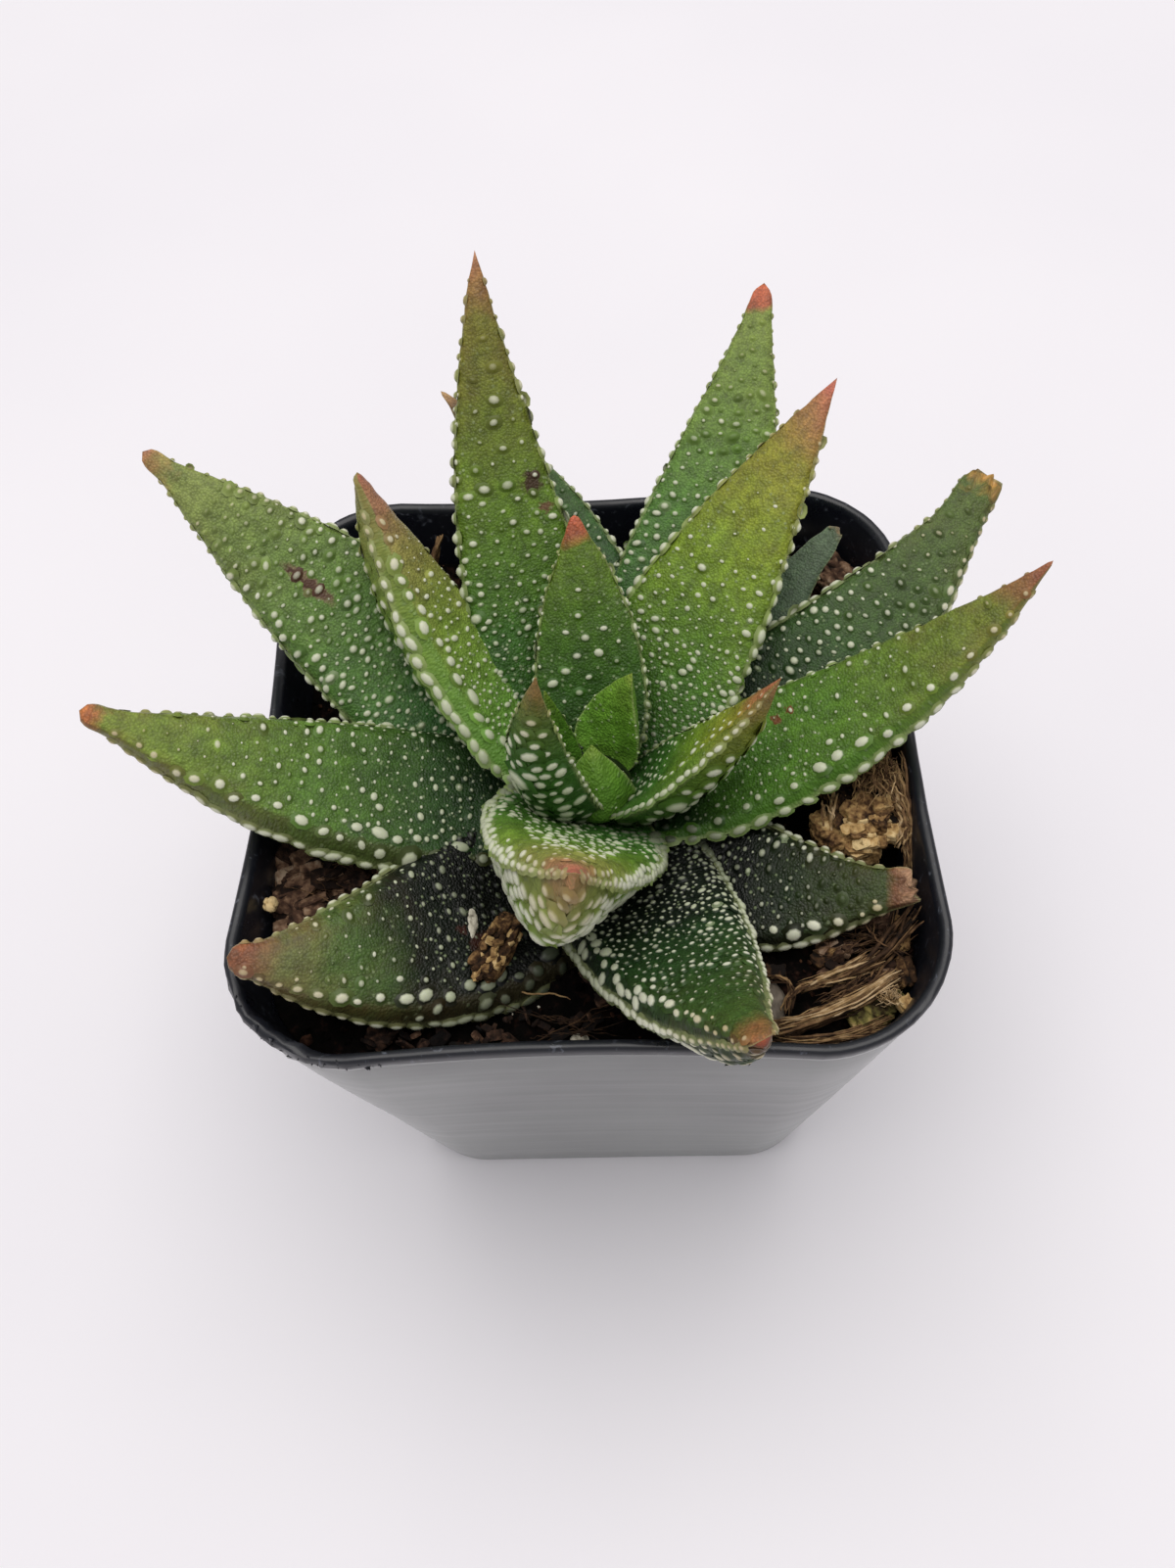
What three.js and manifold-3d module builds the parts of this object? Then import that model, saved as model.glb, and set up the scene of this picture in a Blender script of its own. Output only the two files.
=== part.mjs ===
// A potted Haworthia concolor: a rosette of thick keeled leaves, covered in white tubercles, in a
// square black nursery pot. Millimetres, +Z up, origin under the middle of the pot's floor.
import * as THREE from "three";
import { mergeVertices } from "three/addons/utils/BufferGeometryUtils.js";
import Module from "manifold-3d";

const wasm = await Module();
wasm.setup();

// Pot: half widths are measured across the flats, the sides bow in a little between the corners.
const POT_HEIGHT = 55;
const RIM_HALF = 32;
const RIM_RADIUS = 12;
const RIM_BOW = 0.8;
const RIM_BAND = 2.2;
const RIM_STEP = 0.35;
const FOOT_HALF = 23;
const FOOT_RADIUS = 8;
const FOOT_CHAMFER = 0.8;
const WALL = 1.2;
const FLOOR = 1.5;
const DRAIN_RADIUS = 3;
const DRAIN_OFFSET = 14;
const DRAIN_SIDES = 20;
const CORNER_STEPS = 6;
const SIDE_STEPS = 3;

// Soil: lower than the rim, a little higher round the stem, with crumbs.
const SOIL_LEVEL = 47.6;
const SOIL_MOUND = 0.8;
const SOIL_CRUMB = 0.55;
const SOIL_LOOPS = 7;
const SOIL_SEED = 11;

// Stem: what the leaves clasp. It leans forward of the pot's middle.
const STEM_X = 1;
const STEM_Y = -4;
const STEM_RADIUS = 3.4;
const STEM_FOOT = 36;
const STEM_TOP = 56;
const STEM_TIP_RADIUS = 1.2;
const STEM_SIDES = 20;
const CLASP_RADIUS = 2.5;

// Leaves: share of the length or the width unless millimetres are named.
const WIDEST_AT = 0.24;
const BASE_WIDTH = 0.72;
const TAPER_POWER = 1.55;
const THICKEST_AT = 0.3;
const BASE_THICKNESS = 0.48;
const THIN_POWER = 2.4;
const DISH = 0.1;
const CROWN = 0.45;
const KEEL_POWER = 1.3;
const KEEL_SHARPENS = 0.5;
const ROLL_AT_BASE = 0.35;
const SECTION_POINTS = 12;
const RING_PITCH = 2.2; // mm along the leaf
const TUBERCLE = 0.5; // mm
const TOOTH = 0.6; // mm
const BARE_BASE = 0.1;
const BARE_TIP = 0.93;
const SPARSE_FROM = 0.62;
const CLEARANCE = 0.35; // mm between a piece and its neighbour

// Each leaf from the heart outwards. Degrees: the way it faces and its rise at the base, how much
// each changes towards the tip (turn and lift), and the roll of its blade. Then its length and
// width, its thickness as a share of the width, and its height on the stem.
const LEAVES = [
  { facing: 45, turn: -13, rise: 63, lift: 6, roll: 0, long: 11, wide: 6.5, thick: 0.34, high: 54.8 },
  { facing: 130, turn: 0, rise: 62, lift: 12, roll: 0, long: 10.5, wide: 5, thick: 0.34, high: 54.5 },
  { facing: -130, turn: 8, rise: 65, lift: 41, roll: 28, long: 22, wide: 9, thick: 0.36, high: 53 },
  { facing: -15, turn: 28, rise: 48, lift: 8, roll: -33, long: 23, wide: 10, thick: 0.38, high: 52.5 },
  { facing: 91, turn: 5, rise: 45, lift: -6, roll: 0, long: 23.5, wide: 11, thick: 0.32, high: 53.5 },
  { facing: -106, turn: 38, rise: 37, lift: 26, roll: -23, long: 30, wide: 16, thick: 0.38, high: 52 },
  { facing: 145, turn: -24, rise: 34, lift: 13, roll: 42, long: 35.5, wide: 11.5, thick: 0.36, high: 51.5 },
  { facing: 115, turn: -25, rise: 38, lift: 7, roll: 0, long: 50, wide: 13, thick: 0.34, high: 51 },
  { facing: 57, turn: -10, rise: 31, lift: 3, roll: 5, long: 43, wide: 15, thick: 0.32, high: 51 },
  { facing: -1, turn: 28, rise: 22, lift: 15, roll: 6, long: 45, wide: 14, thick: 0.34, high: 50 },
  { facing: 189, turn: -16.5, rise: 19, lift: 14, roll: -18, long: 46, wide: 15, thick: 0.34, high: 49.5 },
  { facing: -72, turn: 10, rise: 12, lift: 43, roll: 0, long: 36, wide: 16, thick: 0.36, high: 49.5 },
  { facing: 147, turn: 4, rise: 27, lift: 5, roll: -29, long: 52, wide: 17.5, thick: 0.3, high: 49 },
  { facing: 62, turn: 14.5, rise: 25, lift: 3, roll: 8, long: 53, wide: 16, thick: 0.3, high: 48.8 },
  { facing: 85, turn: 55, rise: 26, lift: -3, roll: -13, long: 45, wide: 14, thick: 0.32, high: 48.8 },
  { facing: 14.5, turn: 42, rise: 21, lift: 0, roll: 16, long: 48.5, wide: 16, thick: 0.3, high: 48.5 },
  { facing: -124, turn: -50, rise: 6, lift: 24, roll: -30, long: 38, wide: 16.5, thick: 0.3, high: 48.5 },
  { facing: -45, turn: 46, rise: 5, lift: 17, roll: 27, long: 31.5, wide: 14, thick: 0.3, high: 48.5 },
  { facing: 49, turn: -6, rise: 15, lift: 8, roll: 10, long: 35, wide: 10, thick: 0.3, high: 48 },
];
const INNER_LEAVES = 6;
const MIDDLE_LEAVES = 13;

// Loose pieces on the soil: place, half sizes and turn in degrees, then seed and unevenness.
const LUMPS = {
  bark_front: { at: [-7.9, -20.2, 52.6], half: [1.7, 3.6, 1.4], turn: -28, seed: 21, rough: 0.16 },
  bark_left: { at: [-24.9, -12.5, 48.6], half: [4.2, 2.6, 1.6], turn: 22, seed: 22, rough: 0.2 },
  bark_left_low: { at: [-20.5, -8.5, 48.4], half: [2.4, 3, 1.3], turn: 50, seed: 23, rough: 0.2 },
  bark_back: { at: [25.6, 24.4, 49], half: [2.2, 3.4, 2], turn: 35, seed: 24, rough: 0.18 },
  bark_right: { at: [26.5, -15.5, 48.6], half: [1.8, 3.6, 1.5], turn: 12, seed: 25, rough: 0.2 },
  moss_lump: { at: [25.4, -24.8, 48.6], half: [3, 2, 1.6], turn: 28, seed: 26, rough: 0.2 },
  pebble: { at: [15.8, -24.4, 48.5], half: [2, 2.5, 1.4], turn: 10, seed: 27, rough: 0.05 },
  seed_husk: { at: [-10.4, -17.6, 52.6], half: [0.9, 1.9, 0.7], turn: 14, seed: 28, rough: 0.05 },
  perlite_front: { at: [-0.8, -27.6, 48.4], half: [0.9, 0.8, 0.8], turn: 0, seed: 29, rough: 0.12 },
  perlite_left: { at: [-27.9, -17.6, 48.5], half: [0.8, 1, 0.8], turn: 0, seed: 30, rough: 0.12 },
  perlite_back: { at: [20.6, 26.4, 48.8], half: [1.3, 1.2, 1.2], turn: 0, seed: 31, rough: 0.12 },
};
const CHUNK = { at: [25.5, -5.3, 50.4], seed: 41, rough: 0.22 };
const CHUNK_BLOCKS = [
  { off: [0, 0, 0], half: [3.5, 5, 3.6], turn: 8 },
  { off: [-2.2, -3.5, 0.2], half: [2.2, 2, 2.4], turn: 30 },
  { off: [0.9, -2.8, 2], half: [2.1, 1.8, 2.2], turn: -20 },
  { off: [-1.4, 1.9, 1.9], half: [2.3, 2.2, 2.1], turn: 12 },
  { off: [1.9, 2.4, 1.7], half: [1.6, 2.9, 2.3], turn: 0 },
];
const SOCKET = 0.45; // mm of soil cleared round a loose piece
const FIBRE_RADIUS = 0.5;
const FIBRE_SIDES = 5;
const FIBRE_STEPS = 6;
const FIBRE_BUNDLE = {
  count: 6,
  start: [15.4, -27.6, 48.5],
  bend: [22, -25.2, 49.6],
  end: [27.4, -19.4, 49.2],
  spread: 1.5,
  seed: 51,
};
const ROOT_LEFT = { start: [-16.4, 24.6, 48.2], bend: [-17, 26.6, 51.4], end: [-15.6, 27.6, 54] };
const FULL_TURN = Math.PI * 2;

const POT_BLACK = { color: 0x17181c, roughness: 0.35, metalness: 0 };
const SOIL_BLACK = { color: 0x1c1510, roughness: 0.95, metalness: 0 };
const STEM_GREEN = { color: 0x6b7a3a, roughness: 0.6, metalness: 0 };
const INNER_GREEN = { color: 0x6f8f35, roughness: 0.45, metalness: 0 };
const MIDDLE_GREEN = { color: 0x4c7432, roughness: 0.45, metalness: 0 };
const OUTER_GREEN = { color: 0x2f4f2c, roughness: 0.5, metalness: 0 };
const BARK_BROWN = { color: 0x6a4c34, roughness: 0.9, metalness: 0 };
const FIBRE_TAN = { color: 0x9a8158, roughness: 0.85, metalness: 0 };
const GRAIN_WHITE = { color: 0xcfc9b8, roughness: 0.8, metalness: 0 };

// A repeatable draw from 0 to 1.
function randomSource(seed) {
  let state = seed >>> 0;
  return () => {
    state = (state + 0x6d2b79f5) >>> 0;
    let mixed = state;
    mixed = Math.imul(mixed ^ (mixed >>> 15), mixed | 1);
    mixed ^= mixed + Math.imul(mixed ^ (mixed >>> 7), mixed | 61);
    return ((mixed ^ (mixed >>> 14)) >>> 0) / 2 ** 32;
  };
}

const radians = THREE.MathUtils.degToRad;
const clamp01 = (value) => THREE.MathUtils.clamp(value, 0, 1);
const eased = (value) => Math.sin((clamp01(value) * Math.PI) / 2);

function solidOf(geometry) {
  const bare = geometry.clone();
  bare.deleteAttribute("normal");
  bare.deleteAttribute("uv");
  const merged = mergeVertices(bare, 1e-4);
  return new wasm.Manifold(
    new wasm.Mesh({
      numProp: 3,
      vertProperties: new Float32Array(merged.attributes.position.array),
      triVerts: new Uint32Array(merged.index.array),
    }),
  );
}

function geometryOf(solid) {
  const mesh = solid.getMesh();
  const geometry = new THREE.BufferGeometry();
  geometry.setAttribute("position", new THREE.BufferAttribute(new Float32Array(mesh.vertProperties), 3));
  geometry.setIndex(new THREE.BufferAttribute(new Uint32Array(mesh.triVerts), 1));
  geometry.computeVertexNormals();
  return geometry;
}

function largestBody(solid) {
  return solid.decompose().reduce((best, body) => (body.volume() > best.volume() ? body : best));
}

// A closed surface over rings of points, with a point that closes each end.
function loft(rings, firstPoint, lastPoint) {
  const count = rings[0].length;
  const points = [firstPoint, ...rings.flat(), lastPoint];
  const last = points.length - 1;
  const index = [];
  const at = (ring, k) => 1 + ring * count + (k % count);
  for (let k = 0; k < count; k++) {
    index.push(0, at(0, k + 1), at(0, k));
    index.push(last, at(rings.length - 1, k), at(rings.length - 1, k + 1));
  }
  for (let ring = 0; ring + 1 < rings.length; ring++) {
    for (let k = 0; k < count; k++) {
      const [a, b, c, d] = [at(ring, k), at(ring, k + 1), at(ring + 1, k + 1), at(ring + 1, k)];
      if ((ring + k) % 2) index.push(a, b, c, a, c, d);
      else index.push(a, b, d, b, c, d);
    }
  }
  const geometry = new THREE.BufferGeometry().setFromPoints(points);
  geometry.setIndex(index);
  return geometry;
}

// The pot's outline at one height: corner arcs joined by sides that bow inwards.
function squareLoop(half, radius, bow, z) {
  const points = [];
  const flat = half - radius;
  for (let side = 0; side < 4; side++) {
    const start = (side * Math.PI) / 2 - Math.PI / 4;
    const direction = new THREE.Vector2(1, 0).rotateAround(new THREE.Vector2(), (side * Math.PI) / 2);
    const along = new THREE.Vector2(-direction.y, direction.x);
    for (let step = 0; step < SIDE_STEPS; step++) {
      const share = (2 * (step + 1)) / (SIDE_STEPS + 1) - 1;
      const out = half - bow * (1 - share * share);
      points.push(direction.clone().multiplyScalar(out).addScaledVector(along, flat * share));
    }
    const centre = direction.clone().add(along).multiplyScalar(flat);
    for (let step = 0; step <= CORNER_STEPS; step++) {
      const angle = start + Math.PI / 4 + (step / CORNER_STEPS) * (Math.PI / 2);
      const reach = new THREE.Vector2(Math.cos(angle), Math.sin(angle)).multiplyScalar(radius);
      points.push(reach.add(centre));
    }
  }
  return points.map((point) => new THREE.Vector3(point.x, point.y, z));
}

// The pot's outer outline narrows evenly from the rim to the foot.
function potLoop(z, inset) {
  const share = z / POT_HEIGHT;
  const half = THREE.MathUtils.lerp(FOOT_HALF, RIM_HALF, share) - inset;
  const radius = THREE.MathUtils.lerp(FOOT_RADIUS, RIM_RADIUS, share) - inset;
  return squareLoop(half, radius, RIM_BOW * share, z);
}

function potSolid() {
  const bandFoot = POT_HEIGHT - RIM_BAND;
  const outer = [
    potLoop(0, FOOT_CHAMFER),
    potLoop(FOOT_CHAMFER, 0),
    potLoop(bandFoot - RIM_STEP, RIM_STEP),
    potLoop(bandFoot, 0),
    potLoop(POT_HEIGHT - RIM_STEP, 0),
    potLoop(POT_HEIGHT, RIM_STEP),
  ];
  const inner = [potLoop(POT_HEIGHT, WALL), potLoop(FLOOR, WALL)];
  const rings = [...outer, ...inner];
  let pot = solidOf(loft(rings, new THREE.Vector3(0, 0, 0), new THREE.Vector3(0, 0, FLOOR)));
  for (const [x, y] of [[1, 1], [-1, 1], [-1, -1], [1, -1]]) {
    const drill = new THREE.CylinderGeometry(DRAIN_RADIUS, DRAIN_RADIUS, FLOOR * 4, DRAIN_SIDES);
    drill.rotateX(Math.PI / 2);
    drill.translate(x * DRAIN_OFFSET, y * DRAIN_OFFSET, 0);
    pot = pot.subtract(solidOf(drill));
  }
  return pot;
}

function stemSolid(grow) {
  const radius = STEM_RADIUS + grow;
  const tip = STEM_TIP_RADIUS + grow;
  const top = STEM_TOP + grow;
  const foot = STEM_FOOT - grow;
  const shoulder = top - (STEM_RADIUS - STEM_TIP_RADIUS);
  const collar = foot + STEM_RADIUS;
  const profile = [[0, foot], [tip, foot], [radius, collar], [radius, shoulder], [tip, top], [0, top]];
  const lathe = new THREE.LatheGeometry(
    profile.map(([x, y]) => new THREE.Vector2(x, y)),
    STEM_SIDES,
  );
  lathe.rotateX(Math.PI / 2);
  lathe.translate(STEM_X, STEM_Y, 0);
  return solidOf(lathe);
}

function widthShare(u) {
  if (u < WIDEST_AT) return BASE_WIDTH + (1 - BASE_WIDTH) * eased(u / WIDEST_AT);
  return 1 - ((u - WIDEST_AT) / (1 - WIDEST_AT)) ** TAPER_POWER;
}

function thickShare(u) {
  return (BASE_THICKNESS + (1 - BASE_THICKNESS) * eased(u / THICKEST_AT)) * (1 - u ** THIN_POWER);
}

// The middle line of a leaf with its sideways and upward directions, at even steps of its length.
function leafLine(leaf, steps) {
  const facing = radians(leaf.facing);
  const point = new THREE.Vector3(
    STEM_X + CLASP_RADIUS * Math.cos(facing),
    STEM_Y + CLASP_RADIUS * Math.sin(facing),
    leaf.high,
  );
  const heading = (u) => {
    const rise = radians(leaf.rise + leaf.lift * u);
    const around = facing + radians(leaf.turn) * u;
    return new THREE.Vector3(
      Math.cos(rise) * Math.cos(around),
      Math.cos(rise) * Math.sin(around),
      Math.sin(rise),
    );
  };
  const line = [];
  for (let step = 0; step <= steps; step++) {
    const u = step / steps;
    const around = facing + radians(leaf.turn) * u;
    const side = new THREE.Vector3(-Math.sin(around), Math.cos(around), 0);
    const roll = radians(leaf.roll) * THREE.MathUtils.lerp(ROLL_AT_BASE, 1, u);
    side.applyAxisAngle(heading(u), roll);
    const up = new THREE.Vector3().crossVectors(heading(u), side);
    line.push({ u, point: point.clone(), side, up, ahead: heading(u) });
    point.addScaledVector(heading((step + 0.5) / steps), leaf.long / steps);
  }
  return line;
}

// Height of the tubercle at one point of the net: teeth along both margins, dots on the faces in
// every other place, and fewer of them on the upper face towards the tip.
function tubercle(u, ring, k) {
  if (u < BARE_BASE || u > BARE_TIP || (ring + k) % 2) return 0;
  const margin = k % (SECTION_POINTS / 2) === 0;
  if (margin) return TOOTH;
  const upper = k < SECTION_POINTS / 2;
  if (upper && u > SPARSE_FROM && ring % 4 > 1) return 0;
  return TUBERCLE;
}

// A point of the leaf's section: flat or dished above, keeled below, raised by a given amount.
function sectionPoint(leaf, place, k, raise) {
  const { u, point, side, up } = place;
  const angle = (k / SECTION_POINTS) * FULL_TURN;
  const half = (leaf.wide / 2) * widthShare(u);
  const depth = leaf.wide * leaf.thick * thickShare(u);
  const across = Math.cos(angle);
  const around = Math.sin(angle);
  const dish = DISH * leaf.wide * widthShare(u) * (1 - u) * across * across;
  const crown = CROWN * u * depth * Math.max(around, 0);
  const keel = depth * Math.max(-around, 0) ** (KEEL_POWER + KEEL_SHARPENS * u);
  const normal = new THREE.Vector2(across / half, around / Math.max(depth, half / 2)).normalize();
  return point
    .clone()
    .addScaledVector(side, half * across + raise * normal.x)
    .addScaledVector(up, dish + crown - keel + raise * normal.y);
}

function leafSolid(leaf) {
  const steps = 2 * Math.max(5, Math.round(leaf.long / RING_PITCH / 2));
  const line = leafLine(leaf, steps);
  const rings = line.slice(0, -1).map((place, ring) => {
    const points = [];
    for (let k = 0; k < SECTION_POINTS; k++) {
      points.push(sectionPoint(leaf, place, k, tubercle(place.u, ring, k)));
    }
    return points;
  });
  return solidOf(loft(rings, line[0].point, line[steps].point));
}

// The leaf without its relief and larger all round: the room that its neighbours leave it.
function leafRoom(leaf) {
  const steps = Math.max(5, Math.round(leaf.long / RING_PITCH / 2));
  const line = leafLine(leaf, 2 * steps).filter((place, step) => step % 2 === 0);
  const rings = line.slice(0, -1).map((place) => {
    const grow = CLEARANCE + TOOTH * clamp01(place.u / BARE_BASE);
    const points = [];
    for (let k = 0; k < SECTION_POINTS; k++) {
      points.push(sectionPoint(leaf, place, k, grow));
    }
    return points;
  });
  const tip = line[line.length - 1];
  const far = tip.point.clone().addScaledVector(tip.ahead, 2 * CLEARANCE);
  return solidOf(loft(rings, line[0].point, far));
}

// An uneven rounded stone or chip.
function lumpSolid(at, half, turn, seed, rough, grow) {
  const random = randomSource(seed);
  const ball = new THREE.IcosahedronGeometry(1, 1);
  ball.deleteAttribute("normal");
  ball.deleteAttribute("uv");
  const lump = mergeVertices(ball, 1e-4);
  const place = lump.attributes.position;
  for (let i = 0; i < place.count; i++) {
    const uneven = 1 - rough * random();
    place.setXYZ(
      i,
      place.getX(i) * uneven * (half[0] + grow),
      place.getY(i) * uneven * (half[1] + grow),
      place.getZ(i) * uneven * (half[2] + grow),
    );
  }
  lump.rotateZ(radians(turn));
  lump.translate(...at);
  return solidOf(lump);
}

function chunkSolid(grow) {
  const blocks = CHUNK_BLOCKS.map((block, i) => {
    const at = block.off.map((offset, axis) => offset + CHUNK.at[axis]);
    return lumpSolid(at, block.half, block.turn, CHUNK.seed + i, CHUNK.rough, grow);
  });
  return blocks.reduce((joined, block) => joined.add(block));
}

function fibreSolid(start, bend, end, radius) {
  const curve = new THREE.QuadraticBezierCurve3(
    new THREE.Vector3(...start),
    new THREE.Vector3(...bend),
    new THREE.Vector3(...end),
  );
  const section = new THREE.Shape(
    Array.from({ length: FIBRE_SIDES }, (_, k) => {
      const angle = (k / FIBRE_SIDES) * FULL_TURN;
      return new THREE.Vector2(radius * Math.cos(angle), radius * Math.sin(angle));
    }),
  );
  return solidOf(
    new THREE.ExtrudeGeometry(section, { steps: FIBRE_STEPS, bevelEnabled: false, extrudePath: curve }),
  );
}

// Dry roots that run together in the middle and fan out at both ends.
function bundleSolid(grow) {
  const { count, start, bend, end, spread, seed } = FIBRE_BUNDLE;
  const random = randomSource(seed);
  const near = (place, amount) => [
    place[0] + (random() - 0.5) * 2 * amount,
    place[1] + (random() - 0.5) * 2 * amount,
    place[2] + (random() - 0.5) * FIBRE_RADIUS,
  ];
  const fibres = [];
  for (let i = 0; i < count; i++) {
    const [from, through, to] = [near(start, spread), near(bend, spread / 3), near(end, spread)];
    fibres.push(fibreSolid(from, through, to, FIBRE_RADIUS + grow));
  }
  return fibres.reduce((joined, fibre) => joined.add(fibre));
}

// The soil fills the pot up to an uneven surface.
function soilSolid() {
  const random = randomSource(SOIL_SEED);
  const inset = WALL + CLEARANCE;
  const floor = FLOOR + CLEARANCE;
  const wallTop = potLoop(SOIL_LEVEL, inset);
  const loops = [];
  for (let loop = 0; loop < SOIL_LOOPS; loop++) {
    const share = 1 - loop / SOIL_LOOPS;
    loops.push(
      wallTop.map((point) => {
        const crumb = loop ? (random() - 0.5) * 2 * SOIL_CRUMB : 0;
        const mound = SOIL_MOUND * (1 - share * share);
        return new THREE.Vector3(point.x * share, point.y * share, SOIL_LEVEL + mound + crumb);
      }),
    );
  }
  const rings = [potLoop(floor, inset), ...loops];
  return solidOf(
    loft(rings, new THREE.Vector3(0, 0, floor), new THREE.Vector3(0, 0, SOIL_LEVEL + SOIL_MOUND)),
  );
}

const plant = new THREE.Group();

function addPiece(name, solid, finish) {
  const mesh = new THREE.Mesh(geometryOf(solid), new THREE.MeshStandardMaterial(finish));
  mesh.name = name;
  plant.add(mesh);
}

function leafFinish(index) {
  if (index < INNER_LEAVES) return INNER_GREEN;
  return index < MIDDLE_LEAVES ? MIDDLE_GREEN : OUTER_GREEN;
}

function lumpFinish(name) {
  return /perlite|husk|pebble/.test(name) ? GRAIN_WHITE : BARK_BROWN;
}

addPiece("pot", potSolid(), POT_BLACK);
addPiece("stem", stemSolid(0), STEM_GREEN);

// An outer leaf gives way to the stem and to every leaf that grew inside it.
const stemRoom = stemSolid(CLEARANCE);
const rooms = [];
LEAVES.forEach((leaf, index) => {
  let solid = leafSolid(leaf).subtract(stemRoom);
  for (const room of rooms) solid = solid.subtract(room);
  rooms.push(leafRoom(leaf));
  addPiece("leaf_" + String(index + 1).padStart(2, "0"), largestBody(solid), leafFinish(index));
});

// The pieces on the soil press into it, and give way to the leaves and to each other.
let soil = soilSolid().subtract(stemRoom);
for (const room of rooms) soil = soil.subtract(room);
function addLoosePiece(name, solid, room, finish) {
  let clear = solid;
  for (const neighbour of rooms) clear = clear.subtract(neighbour);
  rooms.push(room);
  soil = soil.subtract(room);
  addPiece(name, largestBody(clear), finish);
}
for (const [name, { at, half, turn, seed, rough }] of Object.entries(LUMPS)) {
  const room = lumpSolid(at, half, turn, seed, rough, SOCKET);
  addLoosePiece(name, lumpSolid(at, half, turn, seed, rough, 0), room, lumpFinish(name));
}
addLoosePiece("wood_chunk", chunkSolid(0), chunkSolid(SOCKET), BARK_BROWN);
addLoosePiece("root_fibres", bundleSolid(0), bundleSolid(CLEARANCE), FIBRE_TAN);
const { start, bend, end } = ROOT_LEFT;
addLoosePiece(
  "root_left",
  fibreSolid(start, bend, end, FIBRE_RADIUS),
  fibreSolid(start, bend, end, FIBRE_RADIUS + CLEARANCE),
  FIBRE_TAN,
);
addPiece("soil", largestBody(soil), SOIL_BLACK);

export default plant;
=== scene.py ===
"""Potted Haworthia concolor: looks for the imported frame.

A rosette of nineteen keeled leaves with off-white tubercles in a square black nursery pot of bark
soil. Lengths below are in millimetres, in the frame's own axes, and become metres in each mesh.
"""

import math

import bpy
import numpy as np
from mathutils import Matrix, Vector, noise


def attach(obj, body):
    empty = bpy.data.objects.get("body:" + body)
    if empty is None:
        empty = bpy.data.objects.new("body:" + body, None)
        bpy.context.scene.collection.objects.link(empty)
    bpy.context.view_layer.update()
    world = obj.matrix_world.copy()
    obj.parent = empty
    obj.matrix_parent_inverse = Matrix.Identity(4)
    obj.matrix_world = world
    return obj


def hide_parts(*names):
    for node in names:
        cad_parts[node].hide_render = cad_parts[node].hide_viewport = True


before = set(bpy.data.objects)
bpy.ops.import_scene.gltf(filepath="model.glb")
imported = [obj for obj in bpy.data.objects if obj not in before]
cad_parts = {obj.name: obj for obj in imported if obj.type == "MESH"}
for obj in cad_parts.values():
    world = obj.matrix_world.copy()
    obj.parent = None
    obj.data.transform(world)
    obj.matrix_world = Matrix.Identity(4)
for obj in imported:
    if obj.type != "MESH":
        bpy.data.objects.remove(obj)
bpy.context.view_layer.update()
bpy.ops.object.select_all(action="DESELECT")

MM = 0.001

# Pot
POT_HEIGHT = 55.0
RIM_HALF = 32.0
RIM_RADIUS = 12.0
RIM_BOW = 0.8
FOOT_HALF = 23.0
FOOT_RADIUS = 8.0
WALL = 1.2
FLOOR = 1.5
DRAIN_RADIUS = 3.0
DRAIN_OFFSET = 14.0
RIM_GLOSS_FROM = 53.6  # the outside is glossy above this height
# The wall's section, from the floor up the outside and down the inside: height and inset.
POT_PROFILE = (
    (0.0, 1.6), (0.0, 0.8), (0.25, 0.3), (0.8, 0.0), (6.0, 0.0), (14.0, 0.0), (24.0, 0.0),
    (34.0, 0.0), (44.0, 0.02), (50.5, 0.05), (52.2, 0.34), (52.45, 0.36), (52.65, 0.16),
    (52.9, 0.02), (53.6, 0.0), (54.35, 0.0), (54.75, 0.1), (54.95, 0.3), (55.0, 0.55),
    (54.95, 0.85), (54.75, 1.08), (54.3, 1.2), (50.0, 1.2), (44.0, 1.2), (30.0, 1.2),
    (14.0, 1.2), (2.6, 1.2), (1.75, 1.5), (1.5, 2.3),
)
BURR_COUNT = 44

# Soil and what lies on it, and the stem
SOIL_LEVEL = 47.6
SOIL_MOUND = 0.8
SOIL_CUTS = 190
CRUMB_COUNT = 2600
# Where bark crumbs lie thick on the peat: place and reach in mm.
BROWN_SPOTS = ((-25, -12, 6), (1, -23, 2.5), (24, -21, 6), (22, 24, 8), (-15, 24, 6))
WALL_REACH = 29.7  # the inner wall's distance from the middle at the soil
BARK_GRAIN = 0.45  # breaks in bark are drawn out along the piece
STRAND_STEPS = 12
STRAND_FLAT = 0.7  # a fibre's thickness as a share of its width
STEM_X = 1.0
STEM_Y = -4.0
CLASP_RADIUS = 2.5

# Leaf form
WIDEST_AT = 0.24
BASE_WIDTH = 0.72
TAPER_POWER = 1.58
THICKEST_AT = 0.3
BASE_THICKNESS = 0.48
THIN_POWER = 2.4
DISH = 0.1
CROWN = 0.45
KEEL_POWER = 1.3
KEEL_SHARPENS = 0.5
ROLL_AT_BASE = 0.35
LEAF_SEGMENTS = 56
LEAF_RINGS = 110
LINE_STEPS = 240
UPPER_TRIES = 5200  # places tried for tubercles on each face
UNDER_TRIES = 1800

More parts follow.
